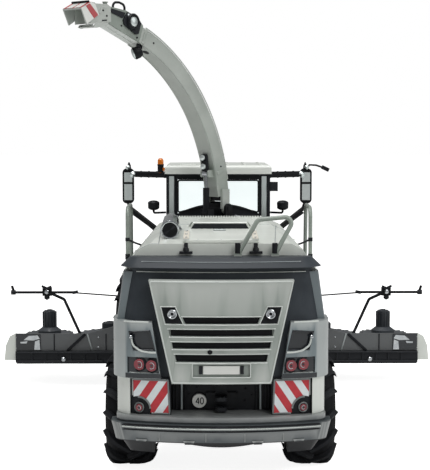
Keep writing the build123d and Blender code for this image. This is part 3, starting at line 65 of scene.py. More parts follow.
# %% Colour conversion and the node helpers
def srgb(code):
    """Linear RGBA of an sRGB hex code: c / 12.92 for dark values, otherwise ((c + 0.055) / 1.055) ** 2.4."""
    c = np.array([int(code[i:i + 2], 16) for i in (1, 3, 5)]) / 255
    linear = np.where(c <= 0.04045, c / 12.92, ((c + 0.055) / 1.055) ** 2.4)
    return (*linear.tolist(), 1.0)


def put(tree, kind, sockets=None, **settings):
    """Adds one node. settings are its own options.

    sockets maps an input's name or number to a value, or to another node's output."""
    node = tree.nodes.new(kind)
    for name, value in settings.items():
        setattr(node, name, value)
    for key, value in (sockets or {}).items():
        if isinstance(value, bpy.types.NodeSocket):
            tree.links.new(value, node.inputs[key])
        else:
            node.inputs[key].default_value = value
    return node


def start_material(name):
    """An empty node material, its tree, and the Object coordinates that its patterns follow, in metres."""
    material = bpy.data.materials.new(name)
    material.use_nodes = True
    tree = material.node_tree
    tree.nodes.clear()
    place = put(tree, "ShaderNodeTexCoord").outputs["Object"]
    return material, tree, place


def finish_material(tree, shader):
    """Wires the shader to the material's output."""
    put(tree, "ShaderNodeOutputMaterial", {"Surface": shader.outputs[0]})


def per_metre(size_mm):
    """Texture scale that gives features about size_mm across."""
    return 1 / (size_mm * MM)


def blend(tree, factor, first, second):
    """Colour that goes from first to second with factor, each an sRGB hex code or another node's output."""
    sides = {"A": srgb(first) if isinstance(first, str) else first,
             "B": srgb(second) if isinstance(second, str) else second}
    return put(tree, "ShaderNodeMix", {"Factor": factor, **sides}, data_type="RGBA").outputs["Result"]


def noise(tree, place, size_mm, detail):
    """Cloudy pattern between 0 and 1, with features about size_mm across."""
    sockets = {"Vector": place, "Scale": per_metre(size_mm), "Detail": detail}
    return put(tree, "ShaderNodeTexNoise", sockets).outputs["Fac"]


def ramp(tree, value, start, end, most=1.0):
    """0 where value is below start, most where it is above end, and a straight slope between."""
    sockets = {"Value": value, "From Min": start, "From Max": end, "To Max": most}
    return put(tree, "ShaderNodeMapRange", sockets).outputs["Result"]


def spread(tree, value, low, high):
    """A value between 0 and 1, spread from low to high."""
    return put(tree, "ShaderNodeMapRange", {"Value": value, "To Min": low, "To Max": high}).outputs["Result"]


def raised(tree, height, strength):
    """Normal of a pattern that stands 0.05 mm high at full strength."""
    sockets = {"Height": height, "Strength": strength, "Distance": 0.05 * MM}
    return put(tree, "ShaderNodeBump", sockets).outputs["Normal"]


def calc(tree, operation, *values):
    """One step of arithmetic on numbers or other nodes' outputs."""
    return put(tree, "ShaderNodeMath", dict(enumerate(values)), operation=operation).outputs[0]


print("white in linear:", [round(v, 3) for v in srgb("#FFFFFF")])


# %% [markdown]
# ## Paint on die-cast zinc
# Almost every panel of such a model is a zinc casting, sprayed with two thin coats and baked. What the eye
# gets from that is a soft gloss, a fine orange peel, a slightly cloudy colour where the coat is thicker,
# and a rubbed, paler line on the sharp edges. One recipe mixes two close tones by a broad noise, lightens
# where the surface turns sharply, shifts the gloss by a finer noise, and raises the orange peel as bump.

# %% The sprayed paint recipe
def sprayed(name, tone, shade, gloss, peel_mm=0.9, peel=0.10, flake=0.0, worn=0.35, low=None, rear=None):
    """Sprayed enamel: two tones in a 14 mm cloud, paler where Pointiness is over 0.53, the peel as bump.

    low = (colour, height in mm) gives the unpainted moulding below that height. rear = (colour, y, z in mm)
    gives another colour behind that y and above that z."""
    material, tree, place = start_material(name)
    cloud = noise(tree, place, 14, 3.0)
    colour = blend(tree, ramp(tree, cloud, 0.35, 0.68), tone, shade)
    edge = put(tree, "ShaderNodeNewGeometry").outputs["Pointiness"]
    colour = blend(tree, ramp(tree, edge, 0.53, 0.62, worn), colour, "#E6E8E4")
    if low:
        height = put(tree, "ShaderNodeSeparateXYZ", {"Vector": place}).outputs["Z"]
        step = ramp(tree, height, (low[1] - 0.15) * MM, (low[1] + 0.15) * MM)
        colour = blend(tree, step, low[0], colour)
    if rear:
        axes = put(tree, "ShaderNodeSeparateXYZ", {"Vector": place})
        behind = calc(tree, "LESS_THAN", axes.outputs["Y"], rear[1] * MM)
        above = calc(tree, "GREATER_THAN", axes.outputs["Z"], rear[2] * MM)
        colour = blend(tree, calc(tree, "MULTIPLY", behind, above), colour, rear[0])
    rough = spread(tree, noise(tree, place, 2.2, 4.0), gloss - 0.05, gloss + 0.09)
    grain = noise(tree, place, peel_mm, 2.0)
    shader = put(tree, "ShaderNodeBsdfPrincipled", {
        "Base Color": colour, "Roughness": rough, "Normal": raised(tree, grain, peel),
        "Metallic": flake, "Coat Weight": 0.25, "Coat Roughness": 0.12})
    finish_material(tree, shader)
    return material


finishes = {
    "body_paint": sprayed("sprayed pale grey enamel", "#DEE2DB", "#D4D9D2", 0.34),
    # Partly its own grey-green tone and partly painted shade: darker for the shade on the grille's upright
    # faces.
    "grille_paint": sprayed("sprayed grey-green enamel darkened as painted shade", "#949C96", "#8B938D", 0.42),
    "spout_paint": sprayed("sprayed satin spout enamel", "#8F9890", "#7F8880", 0.40),
    # Also used for painted highlight lines: on the header's back plates and along the shelf's lip.
    "grey_metallic": sprayed("sprayed silver-grey metallic and painted highlights", "#7D888B", "#6F7A7E", 0.36,
                             peel_mm=0.5, flake=0.3),
    "bumper_grey": sprayed("sprayed grey over black bumper", "#565C5F", "#4B5154", 0.40, flake=0.2,
                           low=("#15171B", 19.9)),
    "side_paint": sprayed("sprayed pale and graphite enamel", "#D3D8D1", "#C8CEC6", 0.34,
                          rear=("#6C767A", REAR_AXLE_Y - 24.0, 66.0)),
    "header_grey": sprayed("rough dark grey enamel", "#33383E", "#2A2E33", 0.6,
                           peel_mm=0.5, peel=0.5, worn=0.1),
    "rim_paint": sprayed("sprayed wheel enamel", "#C3C8C2", "#B4BAB3", 0.40),
    "plate_white": sprayed("printed white enamel", "#DDDEDA", "#D2D3CE", 0.35),
    "print_red": sprayed("screen printed red enamel", "#B5202C", "#A21B26", 0.38, worn=0.05),
    "cream_paint": sprayed("sprayed cream enamel", "#E4DCCB", "#D9D0BE", 0.42),
    # Pale rims and beads, and also painted highlights: the fender's top line and the plate under the spout's
    # extension.
    "light_rim": sprayed("sprayed pale enamel for rims and painted highlights", "#C9CFCB", "#BCC3BE", 0.30),
}
print("paints:", len(finishes))


# %% [markdown]
# ## Moulded plastic and rubber
# The chassis, handrails, mirrors and cab frame are moulded in black ABS, and the tyres in soft PVC. Moulded
# ABS has the fine spark-eroded texture of its tool and a broad sheen. The tyre compound is darker in its
# creases and greyer where it is handled, so it takes dust on the raised places, which Pointiness finds.

# %% The moulded recipes
def moulded(name, tone, shade, gloss, grain_mm=0.35, depth=0.25, coat=0.0, level=0.12, handled="#303236"):
    """Moulded plastic: tones in a 9 mm cloud, handled colour on the raised places, the tool's sandy bump."""
    material, tree, place = start_material(name)
    cloud = noise(tree, place, 9, 4.0)
    colour = blend(tree, ramp(tree, cloud, 0.35, 0.7), tone, shade)
    edge = put(tree, "ShaderNodeNewGeometry").outputs["Pointiness"]
    colour = blend(tree, ramp(tree, edge, 0.52, 0.64, 0.6), colour, handled)
    sand = noise(tree, place, grain_mm, 1.0)
    shader = put(tree, "ShaderNodeBsdfPrincipled", {
        "Base Color": colour, "Roughness": spread(tree, cloud, gloss - 0.06, gloss + 0.08),
        "Normal": raised(tree, sand, depth), "IOR": 1.53, "Specular IOR Level": level,
        "Coat Weight": coat, "Coat Roughness": 0.08})
    finish_material(tree, shader)
    return material


finishes.update({
    "dark_plastic": moulded("moulded black ABS", "#0E0F11", "#15171A", 0.40),
    "shelf_black": moulded("satin black ABS", "#34393E", "#3C4146", 0.42, depth=0.1, level=0.16),
    "gloss_anthracite": moulded("polished anthracite ABS", "#24282C", "#2C3136", 0.2, depth=0.05, coat=0.25,
                                level=0.35),
    "seat_grey": moulded("moulded grey ABS seat", "#2A2D31", "#34383C", 0.6),
    "tyre_rubber": moulded("moulded soft PVC tyre", "#0C0C0E", "#131417", 0.6, grain_mm=0.5, depth=0.35,
                           handled="#3C3E42"),
})
print("finishes so far:", len(finishes))


# %% [markdown]
# ## Plating, glazing and lamps
# Small bright parts of a model are ABS plated with a thin film of metal in a vacuum, which mirrors its
# surroundings with a slight haze. The glazing is clear polystyrene, and the lamps are the same plastic with
# a tint, so both are transmission shaders with a faint smear of fingerprints in the roughness. The lamps
# have the plastic's index of 1.59. The panes are thin and barely bend what is behind them, so theirs is
# 1.1.

# %% Plated and clear recipes
def plated(name, tone, haze, shade="#8F959A"):
    """Vacuum plating: a full metal whose roughness varies around haze with a 3 mm smear."""
    material, tree, place = start_material(name)
    smear = noise(tree, place, 3, 3.0)
    shader = put(tree, "ShaderNodeBsdfPrincipled", {
        "Base Color": blend(tree, smear, tone, shade), "Metallic": 1.0,
        "Roughness": spread(tree, smear, haze - 0.04, haze + 0.1), "Normal": raised(tree, smear, 0.08)})
    finish_material(tree, shader)
    return material


def clear(name, tone, tint, through, haze=0.06, index=1.59):
    """Clear plastic: transmission through, with its tint mixed by a 6 mm cloud and haze in the roughness."""
    material, tree, place = start_material(name)
    cloud = noise(tree, place, 6, 3.0)
    shader = put(tree, "ShaderNodeBsdfPrincipled", {
        "Base Color": blend(tree, cloud, tone, tint), "Transmission Weight": through, "IOR": index,
        "Roughness": spread(tree, cloud, haze - 0.03, haze + 0.05), "Normal": raised(tree, cloud, 0.05)})
    finish_material(tree, shader)
    return material


finishes.update({
    "chrome_plate": plated("vacuum plated ABS", "#D9DCDE", 0.12),
    "mirror_silver": plated("hot-foil silver", "#E4ECEB", 0.3, "#D3DCDA"),
    "clear_glazing": clear("clear polystyrene glazing", "#F8FBFB", "#F1F6F6", 1.0, haze=0.03, index=1.1),
    "lamp_clear": clear("clear polystyrene lens", "#E2E5E8", "#CDD2D8", 0.45),
    "lamp_red": clear("red tinted polystyrene", "#A23A46", "#76242E", 0.15),
    "beacon_orange": clear("orange tinted polystyrene", "#F08A1E", "#DD6F10", 0.15),
})
print("finishes:", len(finishes))


# %% [markdown]
# ## Warning stripes
# The boards at the tail are printed in red and white bands that lean 56 degrees, and mirror from left to
# right. A band is a square wave of a slanted coordinate: the distance from the middle line times the slope,
# plus the height, over the pitch. The absolute value of X makes the two boards mirror each other.

# %% The printed stripes
STRIPE_SLOPE = 1.5
STRIPE_PITCH = 10.05
STRIPE_START = 79.4  # slanted coordinate where a red band starts, in mm
WHOLE_PITCHES = 20  # taken off the start, so that the count of bands is above 0 all over the boards
board, tree, place = start_material("screen printed warning stripes")
split = put(tree, "ShaderNodeSeparateXYZ", {"Vector": place})
across = calc(tree, "ABSOLUTE", split.outputs["X"])
slant = calc(tree, "MULTIPLY_ADD", across, STRIPE_SLOPE, split.outputs["Z"])
shift = calc(tree, "SUBTRACT", slant, (STRIPE_START - WHOLE_PITCHES * STRIPE_PITCH) * MM)
turns = calc(tree, "MULTIPLY", shift, 1 / (STRIPE_PITCH * MM))
band = ramp(tree, calc(tree, "FRACT", turns), 0.51, 0.535)
cloud = noise(tree, place, 2, 3.0)
red = blend(tree, cloud, "#C9303A", "#AE2530")
white = blend(tree, cloud, "#E9EEEF", "#D5DEE0")
finish_material(tree, put(tree, "ShaderNodeBsdfPrincipled", {
    "Base Color": blend(tree, band, red, white), "Roughness": spread(tree, cloud, 0.35, 0.5),
    "Normal": raised(tree, cloud, 0.1)}))
finishes["board_stripe"] = board

# %% [markdown]
# ## Each solid gets its finish
# The record names a material slot for each node. The table of finishes is keyed by those slots, and a few
# nodes that share a slot but look different on the model are named one by one.

# %% Dress the CAD nodes
NODE_FINISH = {"engine_housing": "shelf_black", "rear_bumper": "bumper_grey", "spout_lip": "grille_paint",
               "side_panels": "side_paint"}
NODE_FINISH.update({f"rotor_{name}_{side}": "header_grey" for name in ("outer", "middle", "inner")
                    for side in ("left", "right")})
for part in record["subparts"]:
    node = frame["nodes"][part["node"]]
    node.data.materials.clear()
    node.data.materials.append(finishes[NODE_FINISH.get(part["node"], part["material_slot"])])
print("dressed", len(record["subparts"]), "nodes")


# %% [markdown]
# ## Surfaces for the trim
# Every new piece here is a surface over two parameters, worked out with numpy as one grid of points. Three
# ways of filling the grid make nearly all of them: a profile carried along a path, a profile turned about
# an axis, and a flat plate between two loops. A part is a pair of its points and its blocks of faces, so
# parts are joined freely.

# %% Grids, joining and the mesh maker
def grid_faces(rows, cols, wrap_rows=False, wrap_cols=True):
    """Quads of a grid numbered row by row. A wrapped side joins its last line to its first."""
    r, c = np.meshgrid(np.arange(rows - (not wrap_rows)), np.arange(cols - (not wrap_cols)), indexing="ij")
    down, right = (r + 1) % rows, (c + 1) % cols
    return np.stack([r * cols + c, r * cols + right, down * cols + right, down * cols + c], -1).reshape(-1, 4)


def end_caps(rows, cols):
    """The first and the last line of a grid, each as one face."""
    first = np.arange(cols)[None]
    return [first, first + (rows - 1) * cols]


def unit(vectors):
    vectors = np.asarray(vectors, float)
    return vectors / np.linalg.norm(vectors, axis=-1, keepdims=True)


made = {}


def make_piece(name, parts, finish, body="harvester", smooth=True, replaces=()):
    """Joins parts into one mesh that rides on body. Points are in mm, with y measured from the rear axle."""
    starts = np.cumsum([0] + [len(points) for points, _ in parts])
    points = (np.vstack([points for points, _ in parts]) + (0, REAR_AXLE_Y, 0)) * MM
    faces = [face for start, (_, blocks) in zip(starts, parts) for block in blocks
             for face in (np.asarray(block) + start).tolist()]
    mesh = bpy.data.meshes.new(name)
    mesh.from_pydata(points.tolist(), [], faces)
    shell = bmesh.new()
    shell.from_mesh(mesh)
    bmesh.ops.recalc_face_normals(shell, faces=shell.faces)
    shell.to_mesh(mesh)
    shell.free()
    if smooth:
        mesh.shade_smooth()
        mesh.set_sharp_from_angle(angle=math.radians(35))
    mesh.materials.append(finishes[finish])
    piece = bpy.data.objects.new(name, mesh)
    bpy.context.scene.collection.objects.link(piece)
    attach(piece, body)
    if replaces:
        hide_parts(*replaces)
    made[name] = sum(len(face) - 2 for face in faces)


# %% The three ways of making a part, and the shapes made from them
def carried(path, profile, up=UP, closed=False, scale=1.0):
    """A closed profile of (across, height) carried along path: path + scale * (across * side + height * top).

    side is the path's direction crossed with up, and top is side crossed with the direction."""
    path, profile = np.asarray(path, float), np.asarray(profile, float)
    ahead = np.roll(path, -1, 0) - np.roll(path, 1, 0) if closed else np.gradient(path, axis=0)
    ahead = unit(ahead)
    side = unit(np.cross(ahead, up))
    top = np.cross(side, ahead)
    size = np.broadcast_to(scale, len(path))[:, None, None]
    points = path[:, None] + size * (profile[:, :1] * side[:, None] + profile[:, 1:] * top[:, None])
    rows, cols = points.shape[:2]
    blocks = [grid_faces(rows, cols, closed)]
    if not closed:
        blocks += end_caps(rows, cols)
    return points.reshape(-1, 3), blocks


def turned(profile, centre, axis, count=20, closed=False):
    """Turns a profile of (along, radius) about axis: along is measured from centre, radius from the axis."""
    profile, axis = np.asarray(profile, float), unit(axis)
    u = unit(np.cross(axis, (0.31, 0.12, 0.94) if abs(axis[2]) < 0.9 else (1, 0, 0)))
    v = np.cross(axis, u)
    t = np.linspace(0, 2 * np.pi, count, endpoint=False)[:, None]
    ring = np.cos(t) * u + np.sin(t) * v
    points = np.asarray(centre, float) + profile[:, :1, None] * axis + profile[:, 1:, None] * ring
    rows = len(profile)
    blocks = [grid_faces(rows, count, closed)]
    if not closed:
        blocks += end_caps(rows, count)
    return points.reshape(-1, 3), blocks


def plate(first, second):
    """Flat plate between two equal loops of points: both loops, and the band between them."""
    count = len(first)
    return np.vstack([first, second]), [*end_caps(2, count), grid_faces(2, count)]


def round_rod(radius, count=10):
    """Circle as a profile."""
    t = np.linspace(0, 2 * np.pi, count, endpoint=False)
    return radius * np.stack([np.cos(t), np.sin(t)], -1)


def flat_bar(width, thick, corner=0.2):
    """Rectangle with cut corners as a profile, standing on height 0."""
    w, c = width / 2, min(corner, thick / 3, width / 3)
    return [(-w, 0), (w, 0), (w, thick - c), (w - c, thick), (c - w, thick), (-w, thick - c)]


def bar(start, end, width, thick, up=UP, bevel=0.25):
    """Block from start to end with bevelled ends: the profile shrinks over the last bevel of its length."""
    start, end = np.asarray(start, float), np.asarray(end, float)
    step = unit(end - start) * min(bevel, np.linalg.norm(end - start) / 4)
    small = 1 - bevel / max(width, thick)
    path = [start, start + step, end - step, end]
    return carried(path, flat_bar(width, thick), up, scale=[small, 1, 1, small])


def ring(centre, axis, radius, wire, count=28):
    """Round wire bent to a ring: a circle of radius wire turned about axis."""
    t = np.linspace(0, 2 * np.pi, 8, endpoint=False)
    profile = np.stack([wire * np.sin(t), radius + wire * np.cos(t)], -1)
    return turned(profile, centre, axis, count, closed=True)


def bolt(centre, axis, radius=0.55, height=0.5):
    """Domed screw head."""
    profile = [(-0.1, radius), (0.6 * height, radius), (0.9 * height, 0.75 * radius), (height, 0.3 * radius)]
    return turned(profile, centre, axis, 10)


def both_sides(part):
    """A part and its mirror image over the middle plane."""
    points, blocks = part
    return [part, (points * (-1, 1, 1), blocks)]


# %% [markdown]
# ## The curved tail
# Seen from above, the tail is one wide arc between two rounded corners. A plate, bead or seam that lies on
# it needs the arc's y for each x, pushed out by the thickness of the panel that carries it. The wide arc
# goes through both corners and the middle, and the rounded corner is a smaller circle that touches both the
# arc and the straight side.

# %% Place on the tail's skin
def plan_y(x, grow, half=38.6, rear=-41.0, corner=-36.0, round_r=8.0):
    """y of the skin at x: on the wide arc, and on the corner circle beyond the point where they meet."""
    half, rear, corner, round_r = half + grow, rear - grow, corner - grow, round_r + grow
    sag = corner - rear
    wide_r = (half ** 2 + sag ** 2) / (2 * sag)
    round_x = half - round_r
    round_y = rear + wide_r - np.sqrt((wide_r - round_r) ** 2 - round_x ** 2)
    meet = round_x * wide_r / (wide_r - round_r)
    x = np.minimum(np.abs(np.asarray(x, float)), half)
    on_arc = rear + wide_r - np.sqrt(wide_r ** 2 - np.minimum(x, meet) ** 2)
    on_round = round_y - np.sqrt(np.maximum(round_r ** 2 - np.maximum(x - round_x, 0) ** 2, 0))
    return np.where(x < meet, on_arc, on_round)


def resample(line, step, closed=False):
    """Points every step along a line of points, its corners kept."""
    line = np.asarray(line, float)
    if closed:
        line = np.vstack([line, line[:1]])
    runs = [np.linspace(a, b, max(2, int(np.linalg.norm(b - a) / step) + 1), endpoint=False)
            for a, b in zip(line[:-1], line[1:])]
    return np.vstack(runs if closed else runs + [line[-1:]])


def rounded(line, radius, closed=True, count=5):
    """Replaces each corner of a line by a curve that starts radius before it and ends radius after it."""
    line = np.asarray(line, float)
    before, after = unit(np.roll(line, 1, 0) - line), unit(np.roll(line, -1, 0) - line)
    t = np.linspace(0, 1, count)[:, None, None]
    curve = line + radius * ((1 - t) ** 2 * before + t ** 2 * after)
    curve = curve.transpose(1, 0, 2)
    if closed:
        return curve.reshape(-1, line.shape[1])
    return np.vstack([line[:1], curve[1:-1].reshape(-1, line.shape[1]), line[-1:]])


def on_tail(line, grow, step=1.0, closed=False, **plan):
    """Points of a line of (x, z) laid on the tail's skin."""
    xz = resample(line, step, closed)
    return np.stack([xz[:, 0], plan_y(xz[:, 0], grow, **plan), xz[:, 1]], -1)


def tail_bead(line, grow, width, thick, closed=False, **plan):
    """Thin strip on the tail: a flat bar along the line that stands out from the skin."""
    return carried(on_tail(line, grow, closed=closed, **plan), flat_bar(width, thick, 0.12), BACK, closed)


def tail_plate(corners, grow, thick, count=10, **plan):
    """Plate on the tail over four corners (x, z): two bilinear grids, and a band that joins their borders."""
    u, v = np.meshgrid(np.linspace(0, 1, count), np.linspace(0, 1, count))
    u, v, c = u[..., None], v[..., None], np.asarray(corners, float)
    xz = ((1 - u) * (1 - v) * c[0] + u * (1 - v) * c[1] + u * v * c[2] + (1 - u) * v * c[3]).reshape(-1, 2)
    faces = [np.stack([xz[:, 0], plan_y(xz[:, 0], g, **plan), xz[:, 1]], -1) for g in (grow + thick, grow)]
    grid = np.arange(count * count).reshape(count, count)
    border = np.concatenate([grid[0, :-1], grid[:-1, -1], grid[-1, :0:-1], grid[:0:-1, 0]])
    band = np.stack([border, np.roll(border, -1), np.roll(border, -1) + count ** 2, border + count ** 2], -1)
    quads = grid_faces(count, count, wrap_cols=False)
    return np.vstack(faces), [quads, quads + count ** 2, band]


print("the tail's middle and corner are at y =", np.round(plan_y([0, 30, 36, 38], 0), 2))


# %% [markdown]
# ## Tyres
# A tractor tyre's carcass is a smooth ring with a rounded shoulder and a bead that grips the rim, and its
# lugs are bars that run slanting from the middle to the shoulder and drop over it. The carcass is one
# closed profile turned about the axle. All lugs of a tyre are one array: a trapezoid carried along the
# slanted line, wrapped on the round tread by turning the distance along the tread into an angle.

# %% Carcass, lugs and wheel nuts
def carcass(centre, outer, half, rim_r):
    """Closed profile from bead to bead over the crown, turned about the axle."""
    wall = np.array([
        (0, outer), (0.45 * half, outer - 0.15), (0.72 * half, outer - 0.7), (0.90 * half, outer - 2.2),
        (0.99 * half, outer - 4.2), (half, (outer + rim_r) / 2 + 0.4), (0.97 * half, rim_r + 3.0),
        (0.93 * half, rim_r + 2.2), (0.93 * half, rim_r + 1.7), (0.90 * half, rim_r + 1.1),
        (0.84 * half, rim_r + 0.1), (0.76 * half, rim_r + 0.02)])
    profile = np.vstack([wall, (wall * (-1, 1))[::-1][:-1]])
    return turned(profile, centre, OUT, 96, closed=True)


def lugs(centre, outer, carcass_r, width, count, thick, lug_slant=42.0):
    """Every lug of one side as one grid: p runs along the bar and w round its trapezoid.

    The distance along the tread, over the outer radius, is the angle at which a point is turned onto it."""
    slant = math.radians(lug_slant)
    length = width / 2 / math.cos(slant)
    p = np.array([-0.04, 0.0, 0.25, 0.5, 0.68, 0.8, 0.9, 0.94])[:, None] * length
    drop = np.array([0.25, 0.0, 0.0, 0.05, 0.35, 1.4, 3.1, 4.4])[:, None]
    w = np.array([-0.66, -0.42, -0.30, 0.30, 0.42, 0.66])[None] * thick
    up = np.array([0, 0.75, 1, 1, 0.75, 0])[None]
    floor = np.minimum(carcass_r - 0.9, outer - drop - 1.6)
    radius = floor + up * (outer - drop - floor)
    parts = []
    for side, first in ((1, 0.0), (-1, math.pi / count)):
        across = side * (p * math.cos(slant) - w * math.sin(slant))
        along = p * math.sin(slant) + w * math.cos(slant)
        theta = first + np.arange(count)[:, None, None] * 2 * math.pi / count + along / outer
        x = np.broadcast_to(across, theta.shape)
        points = np.stack([x, radius * np.sin(theta), radius * np.cos(theta)], -1) + np.asarray(centre)
        rows, cols = points.shape[1:3]
        quads = grid_faces(rows, cols)
        lift = (np.arange(count) * rows * cols)[:, None, None]
        blocks = [(block + lift).reshape(-1, block.shape[1]) for block in (quads, *end_caps(rows, cols))]
        parts.append((points.reshape(-1, 3), blocks))
    return parts


LUG_HEIGHT = 1.7
NUT_CIRCLE = 4.9  # radius of the circle of wheel nuts
# axle, body, y, tyre diameter, width, track, rim diameter, lugs in a row, lug thickness
WHEELS = [
    ("front", "front_wheel", 102.0, 66.0, 23.0, 77.6, 36.0, 16, 2.8),
    ("rear", "rear_wheel", 0.0, 47.0, 21.0, 74.2, 26.0, 14, 2.6),
]
for axle, body, y, diameter, width, track, rim_d, count, thick in WHEELS:
    for side_name, side in (("left", -1), ("right", 1)):
        outer, half, rim_r = diameter / 2, width / 2 - 0.7, rim_d / 2
        centre, floor_r = np.array([track / 2, y, outer]), outer - LUG_HEIGHT
        parts = [carcass(centre, floor_r, half, rim_r), *lugs(centre, outer, floor_r, width, count, thick)]
        parts = [(points * (side, 1, 1), blocks) for points, blocks in parts]
        make_piece(f"{axle}_tyre_tread_{side_name}", parts, "tyre_rubber", f"{body}_{side_name}",
                   replaces=(f"{axle}_tyre_{side_name}",))
        face, outwards = side * (track / 2 + width * 0.16 + 1.0), (side, 0, 0)
        nuts = []
        for a in np.linspace(0, 2 * np.pi, 8, endpoint=False) + 0.39:
            spot = (face, y + NUT_CIRCLE * math.cos(a), outer + NUT_CIRCLE * math.sin(a))
            nuts.append(turned([(0, 0.75), (0.8, 0.75), (1.0, 0.55), (1.3, 0.5)], spot, outwards, 6))
        hub_at = (face + side * 1.6, y, outer)
        hub = turned([(0, 3.0), (1.2, 2.8), (1.7, 2.2), (1.9, 0.6)], hub_at, outwards, 24)
        make_piece(f"{axle}_wheel_nuts_{side_name}", [*nuts, hub], "chrome_plate", f"{body}_{side_name}")
print("tyre triangles:", {name: count for name, count in made.items() if "tread" in name})


# %% [markdown]
# ## Trim of the tail
# Fenders on this machine carry a glossy pocket with a bright bead under it, and a dark lamp panel with two
# round lamps. The tailgate is bevelled all round, its slots have pale lips, and its two upper lamps sit in
# silver rings. All of these follow the tail's curve, so they are beads and plates laid on it.

# %% Fender pockets, lamp panels and beads
# Thickness of the fenders and of the tailgate, and depth of the pocket and of the lamp panel.
FENDER_T, GRILLE_T, POCKET_DEPTH, LAMP_DEPTH = 3.8, 4.6, 1.4, 0.8
pocket = [(25.7, 55.2), (34.0, 55.2), (35.6, 62.1), (27.6, 62.8)]
lamp_panel = [(24.2, 46.4), (36.2, 46.4), (36.2, 52.2), (25.1, 52.2)]
lower_panel = [(23.2, 44.2), (37.2, 44.2), (37.2, 46.0), (23.6, 46.0)]
fender_dark, fender_bright, fender_pale = [], [], []
dark_panels = ((pocket, POCKET_DEPTH, 0.25), (lamp_panel, LAMP_DEPTH, 0.3), (lower_panel, 0.0, 0.2))
for corners, depth, thick in dark_panels:
    fender_dark += both_sides(tail_plate(corners, FENDER_T - depth, thick))
rim = rounded(pocket, 0.8)
fender_dark += both_sides(tail_bead(rim, FENDER_T - 0.15, 0.5, 0.3, closed=True))
bead_line = [(-34.9, 60.2), (-34.3, 57.0), (-31.4, 54.9), (-27.8, 54.3), (-25.2, 54.3)]
bead_path = on_tail(rounded(bead_line, 1.2, closed=False), FENDER_T + 0.1, 0.8)
fender_pale += both_sides(carried(bead_path, round_rod(0.38), BACK))
stud = on_tail([(-34.9, 60.2), (-34.7, 60.0)], FENDER_T)[0]
stud_profile = [(0, 0.75), (0.5, 0.75), (0.85, 0.5), (0.95, 0.1)]
fender_bright += both_sides(turned(stud_profile, stud, (-0.35, -1, 0), 16))
fender_pale += both_sides(tail_bead([(25.0, 46.2), (35.6, 46.2)], FENDER_T - LAMP_DEPTH + 0.3, 0.35, 0.2))
# The pale bead along the fender's top edge is a painted highlight.
fender_pale += both_sides(tail_bead([(28.0, 66.1), (37.4, 66.1)], FENDER_T - 0.5, 0.6, 0.75))
make_piece("fender_dark_panels", fender_dark, "gloss_anthracite")
make_piece("fender_beads_and_top_highlight", fender_pale, "light_rim")
make_piece("fender_studs", fender_bright, "chrome_plate")

# %% Tail lamps
# x, z, radius, and how far the lens stands out of the skin
TAIL_LAMPS = ((31.7, 49.6, 2.15, 4.2), (27.0, 49.2, 2.15, 4.2), (32.0, 32.2, 1.3, 2.2))
lamp_bodies, lamp_rings, lamp_eyes = [], [], []
for x, z, r, face in TAIL_LAMPS:
    spot = np.array([x, float(plan_y(x, face)), z])
    behind = np.array([x, float(plan_y(x, face - 1.1)), z])
    facing = unit(np.array([x / 60, -1, 0]))
    lamp_bodies += both_sides(ring(behind + facing * 0.25, facing, r + 0.45, 0.42))
    lamp_rings += both_sides(ring(spot + facing * 0.05, facing, r * 0.55, 0.14))
    lamp_eyes += both_sides(bolt(spot - facing * 0.05, facing, 0.42, 0.35))
make_piece("tail_lamp_rims", lamp_bodies, "dark_plastic")
make_piece("tail_lamp_rings", lamp_rings, "lamp_clear")
make_piece("tail_lamp_bulbs", lamp_eyes, "gloss_anthracite")

# %% Tailgate: bevelled rim, slot lips, lamp rings, lock and plate brackets
GATE_SKIN = GRILLE_T - 0.05
# z of the top and of the foot, half width at the top and at the foot
GRILLE_SLOTS = ((68.3, 65.7, 15.0, 13.9), (63.5, 60.9, 20.4, 19.8),
                (58.6, 56.1, 19.2, 18.7), (53.8, 50.9, 18.0, 17.3))
LAMP_CORNERS = ([(23.4, 72.5), (21.7, 65.5), (14.5, 65.5)], [(14.6, 65.6), (17.7, 72.4), (23.3, 72.4)])
gate = [(-27.6, 82.0), (-18.9, 42.8), (18.9, 42.8), (27.6, 82.0)]
gate_trim = [tail_bead(rounded(gate, 0.9), GATE_SKIN, 0.55, 0.4, closed=True)]
for top, low, half_top, half_low in GRILLE_SLOTS:
    for z, half, width, thick in ((low - 0.28, half_low, 0.45, 0.4), (top + 0.28, half_top, 0.35, 0.3)):
        gate_trim.append(tail_bead([(-half - 0.4, z), (half + 0.4, z)], GATE_SKIN, width, thick))
for side in (1, -1):
    for line in LAMP_CORNERS:
        gate_trim.append(tail_bead([(side * x, z) for x, z in line], GATE_SKIN, 0.4, 0.35))
plate_frame = rounded([(-11.2, 45.0), (11.2, 45.0), (11.2, 50.4), (-11.2, 50.4)], 0.6)
gate_trim.append(tail_bead(plate_frame, GATE_SKIN, 0.4, 0.3, closed=True))
make_piece("tailgate_rim_and_lips", gate_trim, "light_rim")
gate_rings, gate_dark = [], []
for side in (1, -1):
    gate_rings.append(ring((side * 18.9, -45.35, 69.6), BACK, 1.55, 0.38))
    gate_rings.append(ring((side * 18.9, -45.2, 69.6), BACK, 0.95, 0.16))
    gate_dark.append(bolt((side * 18.9, -45.2, 69.6), BACK, 0.6, 0.3))
make_piece("tailgate_lamp_rings", gate_rings, "chrome_plate")
lock_at = (-4.4, float(plan_y(4.4, GRILLE_T)), 54.95)
gate_dark.append(turned([(0, 1.0), (0.35, 0.95), (0.5, 0.6)], lock_at, BACK, 16))
for side in (1, -1):
    bracket = [(side * x, z) for x, z in ((7.3, 46.3), (8.6, 46.3), (8.6, 49.3), (7.3, 49.3))]
    gate_dark.append(tail_plate(bracket, GRILLE_T - 1.0, 0.9, 3))
